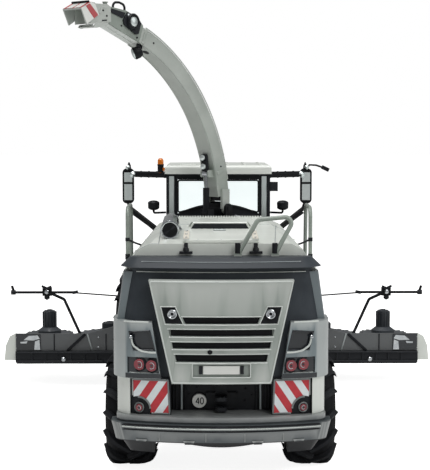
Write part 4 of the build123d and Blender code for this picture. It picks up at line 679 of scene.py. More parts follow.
for top, low, half_top, half_low in GRILLE_SLOTS:
    foot, head = half_low - 0.1, half_top - 0.1
    slot_floor = [(-foot, low + 0.1), (foot, low + 0.1), (head, top - 0.1), (-head, top - 0.1)]
    gate_dark.append(tail_plate(slot_floor, 2.6, 0.3, 16))
gate_dark += both_sides(tail_plate([(14.9, 65.9), (21.4, 65.9), (23.0, 72.1), (17.7, 72.1)], 3.9, 0.3, 6))
make_piece("tailgate_dark_fittings", gate_dark, "dark_plastic")

# %% The shelf's two light lines
shelf_line = on_tail([(-33.0, 84.9), (33.0, 84.9)], -2.5)
make_piece("shelf_bright_line", [carried(shelf_line, flat_bar(0.35, 0.35), BACK)], "light_rim")
lip_line = on_tail([(-31.0, 88.9), (31.0, 88.9)], -1.4)
make_piece("shelf_glint", [carried(lip_line, flat_bar(0.3, 0.25), (0, -1, 0.6))], "grey_metallic")
print("tail trim:", sum(made[name] for name in made if name.startswith(("fender", "tail"))), "triangles")

# %% [markdown]
# ## Lower tail and bumper
# Under the tailgate is a black recess with the hitch, two grey guide rods and a round white speed disc,
# whose plain number is one any such machine carries. The bumper has two dark grooves and a light strip on
# its bowed face.

# %% Boards' frames, recess and speed disc
frames = []
board_edge = [(34.5, 36.8), (34.5, 43.1), (20.7, 43.1), (20.1, 30.0), (27.0, 30.0)]
frames += both_sides(tail_bead(board_edge, 1.0, 0.7, 0.75))
arc = np.linspace(math.radians(92), math.radians(176), 12)
quarter = np.stack([32.4 + 4.8 * np.cos(arc), 31.6 + 4.8 * np.sin(arc)], -1)
frames += both_sides(tail_bead(quarter, 1.0, 0.7, 1.1))
frames += both_sides(ring((32.0, float(plan_y(32.0, 1.5)), 32.2), (0.4, -1, 0), 1.75, 0.35))
make_piece("board_frames", frames, "bumper_grey")

WALL_Y = -32.0
DISC_X, DISC_Z = -8.6, 33.5
DISC_T = 2.02
disc_profile = [(0, 2.8), (1.9, 2.8), (DISC_T, 2.68), (DISC_T, 0.1)]
make_piece("speed_disc", [turned(disc_profile, (DISC_X, WALL_Y, DISC_Z), BACK, 40)], "plate_white")
digit_y = WALL_Y - DISC_T
t = np.linspace(0, 2 * np.pi, 24, endpoint=False)
zero = np.stack([DISC_X + 1.05 + 0.62 * np.cos(t), np.full(24, digit_y), DISC_Z + 1.25 * np.sin(t)], -1)
STROKES = ([(-0.3, -1.25), (-0.3, 0.1), (-0.3, 1.25)], [(-0.4, 1.2), (-0.85, 0.35), (-1.3, -0.5)],
           [(-1.4, -0.5), (-0.7, -0.5), (0.05, -0.5)])
pen = flat_bar(0.38, 0.12, 0.05)
numeral = [carried([(DISC_X + x, digit_y, DISC_Z + z) for x, z in stroke], pen, BACK) for stroke in STROKES]
numeral.append(carried(zero, pen, BACK, closed=True))
make_piece("speed_number", numeral, "dark_plastic")

ROD_X, ROD_Y, ROD_TOP = 15.5, -34.2, 41.0
rods, ribs = [], []
for side in (1, -1):
    rod = [(side * ROD_X, ROD_Y, z) for z in (30.2, 33.0, 37.0, ROD_TOP)]
    rods.append(carried(rod, round_rod(0.4), BACK))
    rods.append(turned([(0, 0.9), (0.8, 0.9), (1.0, 0.6)], (side * ROD_X, ROD_Y, ROD_TOP), UP, 14))
    for x, wide in ((17.4, 0.8), (18.7, 0.6), (13.9, 0.5)):
        ribs.append(bar((side * x, WALL_Y, 30.2), (side * x, WALL_Y, 42.4), wide, 1.6, BACK))
SCREWS = [(-13, 41.4), (-9.5, 38.6), (-4.6, 41.6), (4.4, 41.2), (8.0, 41.8), (9.6, 38.0), (12.2, 40.2),
          (12.2, 35.6), (6.2, 36.5), (-12.6, 36.0), (5.2, 33.4), (9.4, 33.2)]
ribs += [bolt((x, WALL_Y, z), BACK, 0.45, 0.5) for x, z in SCREWS]
ribs.append(bar((-13.0, WALL_Y, 42.6), (13.0, WALL_Y, 42.6), 1.2, 1.4, BACK))
make_piece("guide_rods", rods, "grey_metallic")
make_piece("recess_ribs_and_screws", ribs, "dark_plastic")

# %% Bumper strips
BUMPER = dict(half=41.0, rear=-47.0, corner=-39.5, round_r=6.0)
# name, z, how far out of the skin, width, thickness, finish
BUMPER_STRIPS = [
    ("bumper_bright_strip", 25.5, 1.72, 0.45, 0.3, "light_rim"),
    ("bumper_upper_groove", 26.45, 1.9, 0.8, 0.12, "dark_plastic"),
    ("bumper_lower_groove", 24.5, 1.45, 0.75, 0.12, "dark_plastic"),
]
for name, z, grow, width, thick, finish in BUMPER_STRIPS:
    make_piece(name, [tail_bead([(-38.5, z), (38.5, z)], grow, width, thick, **BUMPER)], finish)
tabs = []
for x in (-31, -12.5, 14, 30):
    tab = [(x - 1.6, 19.2), (x + 1.6, 19.2), (x + 2.2, 20.6), (x - 2.2, 20.6)]
    tabs.append(tail_plate(tab, 0.1, 0.9, 4, **BUMPER))
tabs += [tail_bead([(x, 20.4), (x, 23.6)], 0.8, 0.25, 0.5, **BUMPER) for x in (-24, 24, -6, 9)]
make_piece("bumper_tabs", tabs, "bumper_grey")
print("pieces so far:", len(made))

# %% [markdown]
# ## Hood
# The hood is a casting with a saw-toothed front edge and panel joints, and a service flap with a raised
# scoop on cream hinge straps whose feet end in black knobs. Its height over a place is read from its two
# sections, so each seam can be laid on it.

# %% Height of the hood
HOOD_REAR, HOOD_FRONT = -27.0, 56.0
RIDGE = ((28.0, 20.0), (95.0, 100.0))  # half width at the rear and at the front, and z at both
WAIST = ((32.6, 27.4), (92.6, 97.0))
FOOT_X, FOOT_Z = 37.8, 84.76


def hood_z(x, y):
    """z of the hood over (x, y): ridge and waist slide from the rear section to the front one with y."""
    share = (np.asarray(y, float) - HOOD_REAR) / (HOOD_FRONT - HOOD_REAR)
    ridge_x, ridge_z = (rear + (front - rear) * share for rear, front in RIDGE)
    waist_x, waist_z = (rear + (front - rear) * share for rear, front in WAIST)
    x = np.abs(np.asarray(x, float))
    upper = ridge_z + (waist_z - ridge_z) * (x - ridge_x) / (waist_x - ridge_x)
    lower = waist_z + (FOOT_Z - waist_z) * (x - waist_x) / (FOOT_X - waist_x)
    return np.where(x < ridge_x, ridge_z, np.where(x < waist_x, upper, lower))


def on_hood(line, lift=0.0, step=1.5, closed=False):
    """Points of a line of (x, y) laid on the hood."""
    xy = resample(line, step, closed)
    return np.stack([xy[:, 0], xy[:, 1], hood_z(xy[:, 0], xy[:, 1]) + lift], -1)


SEAM_LINES = ([(-24.6, -27.0), (-25.4, 40.0)], [(21.4, -27.0), (25.2, 36.0)],
              [(-36.8, -26.6), (-24.6, -26.6)], [(-30.5, 30.0), (30.5, 30.0)])
seams = [carried(on_hood(line, -0.04), flat_bar(0.35, 0.16), UP) for line in SEAM_LINES]
cover = rounded([(-11.4, 19.4), (11.4, 19.4), (11.4, 27.4), (-11.4, 27.4)], 3.2)
cover_line = on_hood(resample(cover, 1.0, True), -0.05, closed=True)
seams.append(carried(cover_line, flat_bar(0.9, 0.35), closed=True))
make_piece("hood_seams", seams, "grey_metallic")
teeth = [bar((x, 54.2, 99.85), (x, 56.0, 99.95), 0.7, 0.55, bevel=0.12) for x in np.arange(-19.2, 19.3, 1.2)]
for x, y in ((-15, 45), (-9, 45), (9, 45), (15, 45), (0, 45), (-31, 4), (31, 4), (-33, -12), (33, -12)):
    teeth.append(bar((x, y, float(hood_z(x, y))), (x, y + 1.6, float(hood_z(x, y + 1.6))), 0.9, 0.5))
make_piece("hood_teeth", teeth, "body_paint")
STRAP_X = (-13.8, 13.8)
knobs = []
for x in STRAP_X:
    knobs.append(bar((x - 2.6, -28.4, 91.2), (x + 2.6, -28.4, 91.2), 1.9, 1.0))
    knobs.append(turned([(0, 1.3), (1.3, 1.2), (1.8, 0.8), (1.9, 0.2)], (x, -28.3, 91.9), UP, 16))
    knobs.append(bar((x, -27.8, 92.6), (x, -27.1, 95.2), 1.6, 0.5, (0, -1, 0.2)))
knobs += [bolt((x, HOOD_REAR, 88.5), BACK, 0.4, 0.4) for x in (-20, -6, 6, 20)]
make_piece("hinge_knobs", knobs, "dark_plastic")

# %% Service flap trim
PITCH = math.radians(3.447)  # slope of the hood's top plane
STRAP_TOP, FLAP_TOP = 1.88, 1.16  # above the hood's top plane


def on_flap(x, along, lift):
    """A place on the flap: along its slope from the hood's rear edge, lift above the hood's top plane."""
    y = HOOD_REAR + along * math.cos(PITCH) - lift * math.sin(PITCH)
    return x, y, RIDGE[1][0] + along * math.sin(PITCH) + lift * math.cos(PITCH)


straps = [bar(on_flap(x, 1.1, STRAP_TOP), on_flap(x, 22.9, STRAP_TOP), 2.3, 0.22) for x in STRAP_X]
make_piece("hinge_strap_paint", straps, "cream_paint", "service_flap")
flap_screws = [bolt(on_flap(x, y, STRAP_TOP + 0.2), UP, 0.5, 0.35)
               for x in STRAP_X for y in (3.0, 12.0, 21.0)]
flap_screws += [bolt(on_flap(x, y, FLAP_TOP + 0.02), UP, 0.4, 0.3)
                for x in (-9.0, 0.0, 9.0) for y in (2.6, 41.5)]
make_piece("flap_screws", flap_screws, "chrome_plate", "service_flap")
rim_path = rounded([(-14.4, 1.7), (14.4, 1.7), (14.4, 43.3), (-14.4, 43.3)], 1.6)
rim_path = np.array([on_flap(x, a, FLAP_TOP) for x, a in resample(rim_path, 2.0, True)])
# The scoop: rows of (along, lift, half width) from the mouth's foot over its lip down to the flap's front.
SCOOP = [(35.0, 1.1, 13.2), (35.2, 3.6, 11.6), (35.6, 3.9, 11.4), (38.5, 3.6, 11.8), (43.0, 1.3, 13.4)]
SCOOP_COLS = 9
spans = np.linspace(-1, 1, SCOOP_COLS)
skin = np.array([on_flap(half * k, a, lift) for a, lift, half in SCOOP for k in spans])
sheet = grid_faces(len(SCOOP), SCOOP_COLS, wrap_cols=False)
make_piece("flap_scoop", [(np.vstack([skin, skin - (0, 0, 0.3)]), [sheet, sheet + len(skin)])],
           "body_paint", "service_flap")
MOUTH = ((-12.2, 1.25), (12.2, 1.25), (10.9, 3.3), (-10.9, 3.3))
mouth = np.array([on_flap(x, 34.85, lift) for x, lift in MOUTH])
mouth_plate = plate(mouth, mouth - (0, 0.25, 0))
make_piece("flap_scoop_mouth", [mouth_plate], "dark_plastic", "service_flap", smooth=False)
make_piece("flap_rim", [carried(rim_path, flat_bar(0.6, 0.3), closed=True)], "body_paint", "service_flap")
grip = bar(on_flap(-2.8, 29.6, 1.15), on_flap(2.4, 29.6, 1.15), 3.2, 0.6)
make_piece("flap_grip", [grip], "grey_metallic", "service_flap")

# %% Exhaust: collars, and the tail pipe that leads rearwards over the hood to a mitred mouth
STACK_X, STACK_Y = -20.5, 12.0
MOUTH_WAY = (0, -1, -0.18)
pipe = rounded([(9.5, 100.6), (2.0, 102.0), (-4.0, 101.4), (-13.5, 99.6)], 2.0, closed=False)
pipe = np.stack([np.full(len(pipe), STACK_X), pipe[:, 0], pipe[:, 1]], -1)
tail_pipe = [carried(pipe, round_rod(3.4), UP), ring((STACK_X, -13.9, 99.5), MOUTH_WAY, 3.45, 0.45, 32)]
make_piece("exhaust_tail_pipe", tail_pipe, "chrome_plate")
mouth_profile = [(0, 3.1), (0.3, 3.0), (0.4, 2.2), (0.42, 0.1)]
make_piece("exhaust_mouth", [turned(mouth_profile, (STACK_X, -13.6, 99.5), MOUTH_WAY, 28)], "dark_plastic")
collar_at = (STACK_X, STACK_Y, float(hood_z(STACK_X, STACK_Y)) + 0.1)
bands = [ring((STACK_X, STACK_Y, 98.4), UP, 3.75, 0.32), ring((STACK_X, STACK_Y, 99.9), UP, 3.12, 0.16),
         turned([(0, 4.5), (0.35, 4.6), (0.6, 4.2), (0.6, 3.2)], collar_at, (0, -0.06, 1), 32)]
make_piece("exhaust_bands", bands, "chrome_plate")
print("hood trim:", made["hood_teeth"] + made["hood_seams"] + made["hinge_knobs"], "triangles")


# %% [markdown]
# ## Spout end
# The spout lies in one upright plane that points rearwards and to the left, so its trim is placed by three
# numbers: u along that plane, z up, and v across it. A round work lamp sits on the extension's right wall,
# a second one hangs under the duct's end, and the last flap wears red and white paint on its outside.

# %% Places on the spout
TURRET_Y = 70.0
TURN = math.radians(40.0)
POINTING = np.array([-math.sin(TURN), -math.cos(TURN), 0.0])
ACROSS = np.array([-math.cos(TURN), math.sin(TURN), 0.0])
RIGHT_WALL = -ACROSS
# The duct is a quarter ellipse up to DUCT_END degrees. The three pieces after it each tilt further down.
DUCT_FOOT_Z, DUCT_REACH, DUCT_RISE, DUCT_END = 99.4, 90.0, 87.5, 68.5
EXTENSION_TILT, FLAP_TILT, LIP_TILT = 18.3, -2.0, -27.0
# Half widths across the spout, of the duct's wall, the upper flap's wall and the end flap's wall.
DUCT_HALF, FLAP_HALF, LIP_HALF = 3.9, 4.65, 5.4


def on_spout(u, z, v=0.0):
    """Turret's middle + u * pointing + v * across, at height z. u, z and v may be arrays."""
    u, z, v = np.broadcast_arrays(np.asarray(u, float), z, v)
    middle = np.array([0, TURRET_Y, 0])
    return middle + u[..., None] * POINTING + v[..., None] * ACROSS + z[..., None] * np.array(UP)


def duct(angle, depth):
    """u and z on the duct's curve, a quarter ellipse, depth out from its middle line."""
    t = np.radians(angle)
    return DUCT_REACH - (DUCT_REACH + depth) * np.cos(t), DUCT_FOOT_Z + (DUCT_RISE + depth) * np.sin(t)


def beyond(start, tilt, length, lift=0.0):
    """From start (u, z), length along a line tilted above the horizontal, and lift at a right angle to it."""
    c, s = math.cos(math.radians(tilt)), math.sin(math.radians(tilt))
    return start[0] + length * c - lift * s, start[1] + length * s + lift * c


duct_end = duct(DUCT_END, 0.0)
END_TILT = math.degrees(math.atan2(DUCT_RISE * math.cos(math.radians(DUCT_END)),
                                   DUCT_REACH * math.sin(math.radians(DUCT_END))))
ext_start = beyond(duct_end, END_TILT, 0.06)
flap_hinge = beyond(ext_start, EXTENSION_TILT, 23.6, 3.4)
lip_hinge = beyond(flap_hinge, FLAP_TILT, 10.0, 0.5)
print("flap hinge and lip hinge at (u, z):", np.round([flap_hinge, lip_hinge], 1).tolist())


def on_extension(length, lift):
    return beyond(ext_start, EXTENSION_TILT, length, lift)


def on_upper_flap(length, lift):
    return beyond(flap_hinge, FLAP_TILT, length, lift)


def on_lip(length, lift):
    return beyond(lip_hinge, LIP_TILT, length, lift)


def wall_plate(outline, v_from, v_to):
    """Flat plate over an outline of (u, z), between two distances across the spout."""
    u, z = np.asarray(outline, float).T
    return plate(on_spout(u, z, v_from), on_spout(u, z, v_to))


# %% Duct: edge flanges, clamp bands and inspection plugs
sweep = np.linspace(11.0, 67.5, 60)
flanges = []
for v in (-DUCT_HALF - 0.05, DUCT_HALF + 0.05):
    for depth in (-3.6, 3.9):
        flanges.append(carried(on_spout(*duct(sweep, depth), v), flat_bar(0.25, 0.55), POINTING))
for angle in (14.0, 67.0):
    for v in (-DUCT_HALF - 0.05, DUCT_HALF + 0.05):
        edge_line = on_spout(*duct(angle, np.linspace(-3.4, 3.4, 5)), v)
        flanges.append(carried(edge_line, flat_bar(1.6, 0.35), RIGHT_WALL * (1 if v < 0 else -1)))
make_piece("duct_flanges", flanges, "spout_paint", "spout")
plugs = []
for angle in (62.3, 33.0):
    u, z = duct(angle, -3.98 + 0.004 * angle)
    inward = unit(on_spout(*duct(angle, -5.0)) - on_spout(*duct(angle, -4.0)))
    plugs.append(turned([(-0.1, 1.5), (0.12, 1.5), (0.16, 1.2), (0.1, 0.3)], on_spout(u, z), inward, 24))
make_piece("duct_plugs", plugs, "dark_plastic", "spout")
right_screws = [duct(angle, depth) for angle, depth in (
    (66.6, 2.4), (66.6, -2.6), (63.0, 0.0), (14.0, 3.2), (14.0, -3.0), (15.5, 0.2))]
right_screws += [on_extension(a, b)
                 for a, b in ((2.0, -2.4), (2.0, 2.2), (12.5, -1.2), (20.6, -1.4), (21.6, 1.6))]
duct_screws = [bolt(on_spout(*spot, -DUCT_HALF), RIGHT_WALL, 0.42, 0.35) for spot in right_screws]
duct_screws += [bolt(on_spout(*duct(a, 0.0), DUCT_HALF), -RIGHT_WALL, 0.42, 0.35) for a in (15.0, 40.0, 66.0)]
make_piece("duct_screws", duct_screws, "dark_plastic", "spout")

# %% Extension: lamp, bracket plate, rib, handle, knob, and a pale plate under it as painted light
WALL_FACE = -DUCT_HALF - 0.02
back_plate = [on_extension(*place) for place in (
    (2.2, -0.9), (3.6, -1.6), (11.4, -0.4), (12.6, 1.4), (11.2, 5.4), (4.2, 5.5), (2.0, 3.8))]
lamp_at = on_spout(*on_extension(7.4, 2.6), -5.25)
shell_profile = [(-1.3, 3.5), (0.3, 3.5), (0.75, 3.2), (0.6, 2.5), (0.3, 2.3)]
rib = [on_extension(*place) for place in ((12.4, 2.9), (12.4, 4.7), (22.6, 2.9), (22.9, 1.6), (13.4, 1.9))]
dark = [wall_plate(back_plate, WALL_FACE, -4.7), turned(shell_profile, lamp_at, RIGHT_WALL, 32),
        wall_plate(rib, WALL_FACE, -4.4)]
make_piece("spout_lamp_housing", dark, "dark_plastic", "spout")
lens = turned([(0.2, 2.25), (0.65, 2.0), (0.95, 1.3), (1.02, 0.2)], lamp_at, RIGHT_WALL, 28)
make_piece("spout_lamp_lens", [lens], "mirror_silver", "spout")
clip = bolt(on_spout(*on_extension(10.6, 4.4), -4.7), RIGHT_WALL, 0.75, 0.6)
make_piece("spout_lamp_clip", [clip], "chrome_plate", "spout")
loop = [on_extension(*place) for place in (
    (11.4, 5.6), (11.7, 7.4), (12.8, 8.3), (15.4, 8.2), (17.9, 7.2), (18.6, 5.9), (18.3, 4.6))]
loop = rounded(np.array(loop), 0.6, closed=False)
loop_wire = carried(on_spout(loop[:, 0], loop[:, 1], -2.6), round_rod(0.5), RIGHT_WALL)
make_piece("spout_grab_loop", [loop_wire], "dark_plastic", "spout")
knob_profile = [(0, 0.9), (1.3, 0.9), (1.7, 1.3), (1.9, 1.2), (2.0, 0.4)]
knob = turned(knob_profile, on_spout(*on_extension(22.6, 3.5), -2.4), UP, 16)
make_piece("spout_knob", [knob], "spout_paint", "spout")
# The pale plate under the extension's floor is painted light: it makes that underside as bright as a lit
# face.
floor_line = [on_extension(a, -3.78 + 0.034 * a) for a in (0.6, 6.0, 12.0, 18.0, 22.4)]
floor_line = on_spout(*np.array(floor_line).T)
floor_parts = [carried(floor_line, flat_bar(6.8, 0.3), (0, 0, -1)),
               carried(floor_line + (0, 0, -0.1), flat_bar(1.2, 0.55), (0, 0, -1))]
make_piece("spout_floor_painted_light", floor_parts, "light_rim", "spout")

# %% Lower work lamp, under the duct's end
lamp_u, lamp_z = duct(67.0, -5.2)
down = unit(0.72 * POINTING + 0.62 * ACROSS + np.array([0, 0, -0.4]))
hang = on_spout(lamp_u + 0.6, lamp_z - 2.2, -1.6)
arm_ends = (on_spout(lamp_u - 0.6, lamp_z + 1.4, -1.6), on_spout(lamp_u, lamp_z - 1.2, -1.6))
under_lamp = [
    turned([(-2.6, 0.8), (-2.2, 2.0), (-1.0, 2.6), (0.8, 2.7), (1.4, 2.5)], hang, down, 26),
    bar(*arm_ends, 2.6, 1.4, RIGHT_WALL)]
make_piece("under_lamp_housing", under_lamp, "dark_plastic", "spout")
under_lens = turned([(1.3, 2.5), (1.75, 2.2), (2.0, 1.4), (2.05, 0.2)], hang, down, 26)
make_piece("under_lamp_lens", [under_lens], "mirror_silver", "spout")

# %% Upper flap
flap_rib = [on_upper_flap(*place) for place in (
    (0.4, -0.4), (3.6, -0.5), (5.0, -3.4), (4.4, -3.6), (3.1, -1.1), (0.4, -1.0))]
flap_ribs = [wall_plate(flap_rib, side * (FLAP_HALF + 0.01), side * (FLAP_HALF + 0.3)) for side in (-1, 1)]
make_piece("flap_ribs", flap_ribs, "grille_paint", "deflector_upper")
fittings = [bolt(on_spout(*on_upper_flap(a, b), side * FLAP_HALF), -side * RIGHT_WALL, 0.4, 0.35)
            for a, b in ((2.6, -2.2), (0.6, -4.4)) for side in (-1, 1)]
slot_plate = [on_upper_flap(*place) for place in ((0.6, -6.4), (3.4, -6.6), (3.4, -6.1), (0.6, -5.9))]
fittings.append(wall_plate(slot_plate, -FLAP_HALF - 0.01, -FLAP_HALF - 0.2))
make_piece("flap_fittings", fittings, "dark_plastic", "deflector_upper")
foot = [on_upper_flap(*place) for place in ((-0.6, -7.0), (7.4, -7.9), (8.4, -9.0), (6.6, -9.4), (0.6, -8.4))]
cross = [on_upper_flap(*place) for place in ((6.6, -8.4), (8.3, -8.9), (6.6, -9.3), (5.0, -9.0))]
bracket = [wall_plate(foot, -4.64, -4.14), wall_plate(foot, 4.14, 4.64), wall_plate(cross, -4.1, 4.1)]
make_piece("flap_bracket", bracket, "grille_paint", "deflector_upper")

# %% The painted end flap: white, then red over it
WHITE_FACE, RED_FACE = LIP_HALF + 0.08, LIP_HALF + 0.15
top_ends = np.array([on_lip(0.2, 0.5), on_lip(6.3, 0.5)])
top_path = on_spout(np.linspace(*top_ends[:, 0], 6), np.linspace(*top_ends[:, 1], 6))
cheek = [on_lip(*place) for place in ((-1.8, -1.2), (0.0, 0.4), (6.3, 0.4), (6.3, -6.4), (-1.8, -5.8))]
white_paint = [carried(top_path, flat_bar(10.6, 0.10, 0.03), UP)]
white_paint += [wall_plate(cheek, side * LIP_HALF, side * WHITE_FACE) for side in (-1, 1)]
make_piece("lip_white_paint", white_paint, "plate_white", "deflector_end")
stripes = []
for v, wide in ((0.0, 0.7), (-4.7, 1.3), (4.7, 1.3)):
    shifted = top_path + v * ACROSS + np.array([0, 0, 0.1])
    stripes.append(carried(shifted, flat_bar(wide, 0.06, 0.02), UP))
rear_edge = on_spout(*on_lip(5.9, 0.6), np.linspace(-5.2, 5.2, 6))
stripes.append(carried(rear_edge, flat_bar(0.7, 0.06, 0.02), UP))
slash = [on_lip(*place) for place in ((1.0, 0.3), (3.6, 0.3), (1.6, -6.1), (-1.2, -5.8), (-1.0, -4.9))]
stripes += [wall_plate(slash, side * WHITE_FACE, side * RED_FACE) for side in (-1, 1)]
make_piece("lip_red_paint", stripes, "print_red", "deflector_end")
hinge_line = on_spout(*on_lip(0.6, 1.05), np.linspace(-4.9, 4.9, 5))
make_piece("lip_hinge_rod", [carried(hinge_line, round_rod(0.42), UP)], "dark_plastic", "deflector_end")

# %% Lamps and block at the duct's foot
foot_dark = [bar(on_spout(8.9, 121.0, 0), on_spout(9.9, 128.6, 0), 3.2, 1.4, POINTING)]
foot_bright = []
foot_lens = [(0.4, 1.45), (0.9, 1.3), (1.2, 0.9), (1.3, 0.2)]
for u, z in ((11.2, 127.0), (10.7, 122.9)):
    foot_dark.append(turned([(-1.0, 1.0), (0, 1.55), (0.5, 1.6)], on_spout(u, z), POINTING, 20))
    foot_bright.append(turned(foot_lens, on_spout(u, z), POINTING, 20))
make_piece("foot_lamp_block", foot_dark, "dark_plastic", "spout")
make_piece("foot_lamp_lenses", foot_bright, "mirror_silver", "spout")
RING_R = 9.4
ring_bolts = [bolt((RING_R * math.cos(a), TURRET_Y + RING_R * math.sin(a), 99.0), UP, 0.6, 0.5)
              for a in np.linspace(0, 2 * np.pi, 14, endpoint=False)]
make_piece("turret_bolts", ring_bolts, "chrome_plate", "turret")
drum_profile = [(-3.7, 0.6), (-3.7, 3.0), (-3.4, 3.3), (3.4, 3.3), (3.7, 3.0), (3.7, 0.6)]
drum = turned(drum_profile, on_spout(0, 103.0), ACROSS, 32)
make_piece("turret_hinge_drum", [drum], "dark_plastic", "turret")
web = wall_plate([(-0.6, 109.8), (1.6, 109.6), (1.4, 106.6), (-0.4, 106.7)], -3.2, 3.2)
make_piece("spout_foot_web", [web], "dark_plastic", "spout")
trim = [count for name, count in made.items() if name.startswith(("duct", "spout", "lip", "flap"))]
print("trim of the spout and of all flaps:", sum(trim), "triangles")

# %% [markdown]
# ## Cab
# Cab glass on such a model is set in thin rubber frames, and silver strips on the black pillars are painted
# reflections of the curved side panes. Inside stands a padded seat with arm rests, a column with its wheel
# and a side console, which replace the plain blocks. A cushion is a superellipsoid: the sphere's formula with
# each sine and cosine raised to a power under one, which swells the sides and rounds the corners.

# %% Cushions and the cab's inside
def cushion(centre, size, tilt=0.0, power=0.45, count=24):
    """Superellipsoid: half size * sign(c) * |c| ** power for the sphere's cosines and sines, tilted."""
    p, q = np.meshgrid(np.linspace(-np.pi / 2 + 0.02, np.pi / 2 - 0.02, count // 2),
                       np.linspace(0, 2 * np.pi, count, False), indexing="ij")
    sphere = np.stack([np.cos(p) * np.cos(q), np.cos(p) * np.sin(q), np.sin(p)], -1).reshape(-1, 3)
    points = np.sign(sphere) * np.abs(sphere) ** power * np.asarray(size) / 2
    c, s = math.cos(math.radians(tilt)), math.sin(math.radians(tilt))
    points = points @ np.array([[1, 0, 0], [0, c, s], [0, -s, c]]) + np.asarray(centre)
    return points, [grid_faces(count // 2, count), *end_caps(count // 2, count)]


FLOOR_Z = 71.7
WHEEL_Y, WHEEL_Z, WHEEL_WAY = 117.4, FLOOR_Z + 16.4, (0, -0.57, 0.82)
seat = [
    cushion((0, 100.5, FLOOR_Z + 6.6), (13.6, 13.6, 3.6)),
    cushion((0, 94.2, FLOOR_Z + 15.4), (12.6, 3.4, 15.6), -6),
    cushion((0, 93.2, FLOOR_Z + 23.2), (7.0, 2.4, 4.2), -6),
    cushion((0, 100.0, FLOOR_Z + 3.0), (11.0, 11.0, 5.6), 0, 0.25),
    cushion((-7.6, 101.0, FLOOR_Z + 10.2), (2.0, 9.6, 1.7)),
    cushion((7.9, 102.0, FLOOR_Z + 10.2), (2.8, 12.0, 2.2)),
]
make_piece("operator_seat", seat, "seat_grey", replaces=("cab_interior",))
stem = [(0, 120.6, FLOOR_Z), (0, 120.0, FLOOR_Z + 7), (0, 118.6, FLOOR_Z + 13.6), (0, 117.6, FLOOR_Z + 16)]
column = [
    carried(stem, flat_bar(3.4, 3.0, 0.8), (0, 1, 0), scale=[1.2, 1.0, 0.7, 0.4]),
    turned([(-0.4, 1.3), (0.3, 1.2), (0.6, 0.6)], (0, WHEEL_Y, FLOOR_Z + 16.2), WHEEL_WAY, 16),
    ring((0, WHEEL_Y, WHEEL_Z), WHEEL_WAY, 4.6, 0.42, 36),
    bar((-4.5, WHEEL_Y, WHEEL_Z), (4.5, WHEEL_Y, WHEEL_Z), 0.7, 0.4, WHEEL_WAY),
    bar((0, WHEEL_Y, WHEEL_Z), (0, 113.7, FLOOR_Z + 13.9), 0.7, 0.4, WHEEL_WAY),
    bar((6.4, 103.4, FLOOR_Z + 13.2), (9.6, 103.4, FLOOR_Z + 16.6), 4.6, 0.6, BACK),
]
make_piece("steering_column", column, "dark_plastic")
stick_line = [(8.2, 106.6, FLOOR_Z + 11), (8.2, 107.2, FLOOR_Z + 13.4), (8.2, 107.6, FLOOR_Z + 14.4)]
stick = [carried(stick_line, round_rod(0.5)), cushion((8.2, 107.7, FLOOR_Z + 15.4), (1.7, 1.9, 2.6), 10)]
make_piece("drive_lever", stick, "gloss_anthracite")

# %% Cab outside: painted reflections on the pillars, window frames, roof trim, handles and wiper
# Silver strips on the black pillars are painted reflections of the curved side panes.
pillars = [bar((x, 83.95, 86.0), (x, 83.95, 117.6), 2.4, 0.3, BACK) for x in (-22.4, 22.0)]
make_piece("pillar_painted_reflections", pillars, "mirror_silver")
cab_dark = []
window = rounded([(-19.3, 100.2), (0, 104.8), (19.3, 100.2), (19.3, 115.6), (-19.3, 115.6)], 1.0)
window = np.stack([window[:, 0], np.full(len(window), 83.9), window[:, 1]], -1)
cab_dark.append(carried(window, flat_bar(0.8, 0.45), BACK, True))
cab_dark += both_sides(bar((25.4, 85.0, 117.9), (25.4, 131.0, 117.9), 1.0, 0.6))
cab_dark.append(bar((-24.0, 83.3, 118.1), (24.0, 83.3, 118.1), 1.4, 0.6))
cab_dark.append(bar((-6.0, 137.0, 77.0), (4.0, 137.35, 90.0), 0.5, 0.4, (0, 1, 0)))
cab_dark.append(bar((3.2, 137.4, 83.0), (7.6, 136.9, 99.0), 0.5, 0.35, (0, 1, 0)))
cab_dark += [bar((x, 83.6, 84.0), (x * 1.02, 83.6, 87.4), 1.6, 0.6, BACK) for x in (-26.4, 26.4)]
make_piece("cab_frames_and_wiper", cab_dark, "dark_plastic")
hatch = rounded([(-19.1, 86.3), (-9.7, 86.3), (-9.7, 97.7), (-19.1, 97.7)], 1.4)
hatch = np.stack([hatch[:, 0], hatch[:, 1], np.full(len(hatch), 122.75)], -1)
roof = [carried(hatch, flat_bar(0.5, 0.25), closed=True)]
roof += [bar((x, 84.6, 122.9), (x, 128.0, 122.9), 1.4, 0.45, bevel=0.8) for x in (-4.0, 4.6, 12.8, 20.4)]
roof.append(cushion((-14.4, 92.0, 122.3), (7.6, 9.0, 1.1), 0, 0.3))
make_piece("roof_ribs_and_hatch", roof, "body_paint")
DOOR_X = 25.05
for side_name, side in (("left", -1), ("right", 1)):
    pull = [bar((side * DOOR_X, y, low), (side * DOOR_X, y, high), width, thick, (side, 0, 0))
            for y, low, high, width, thick in ((94.0, 88.0, 92.6, 1.1, 0.8), (125.6, 82.0, 84.6, 1.4, 0.7),
                                               (125.6, 104.0, 106.6, 1.4, 0.7))]
    make_piece(f"door_pull_{side_name}", pull, "gloss_anthracite", f"cab_door_{side_name}")

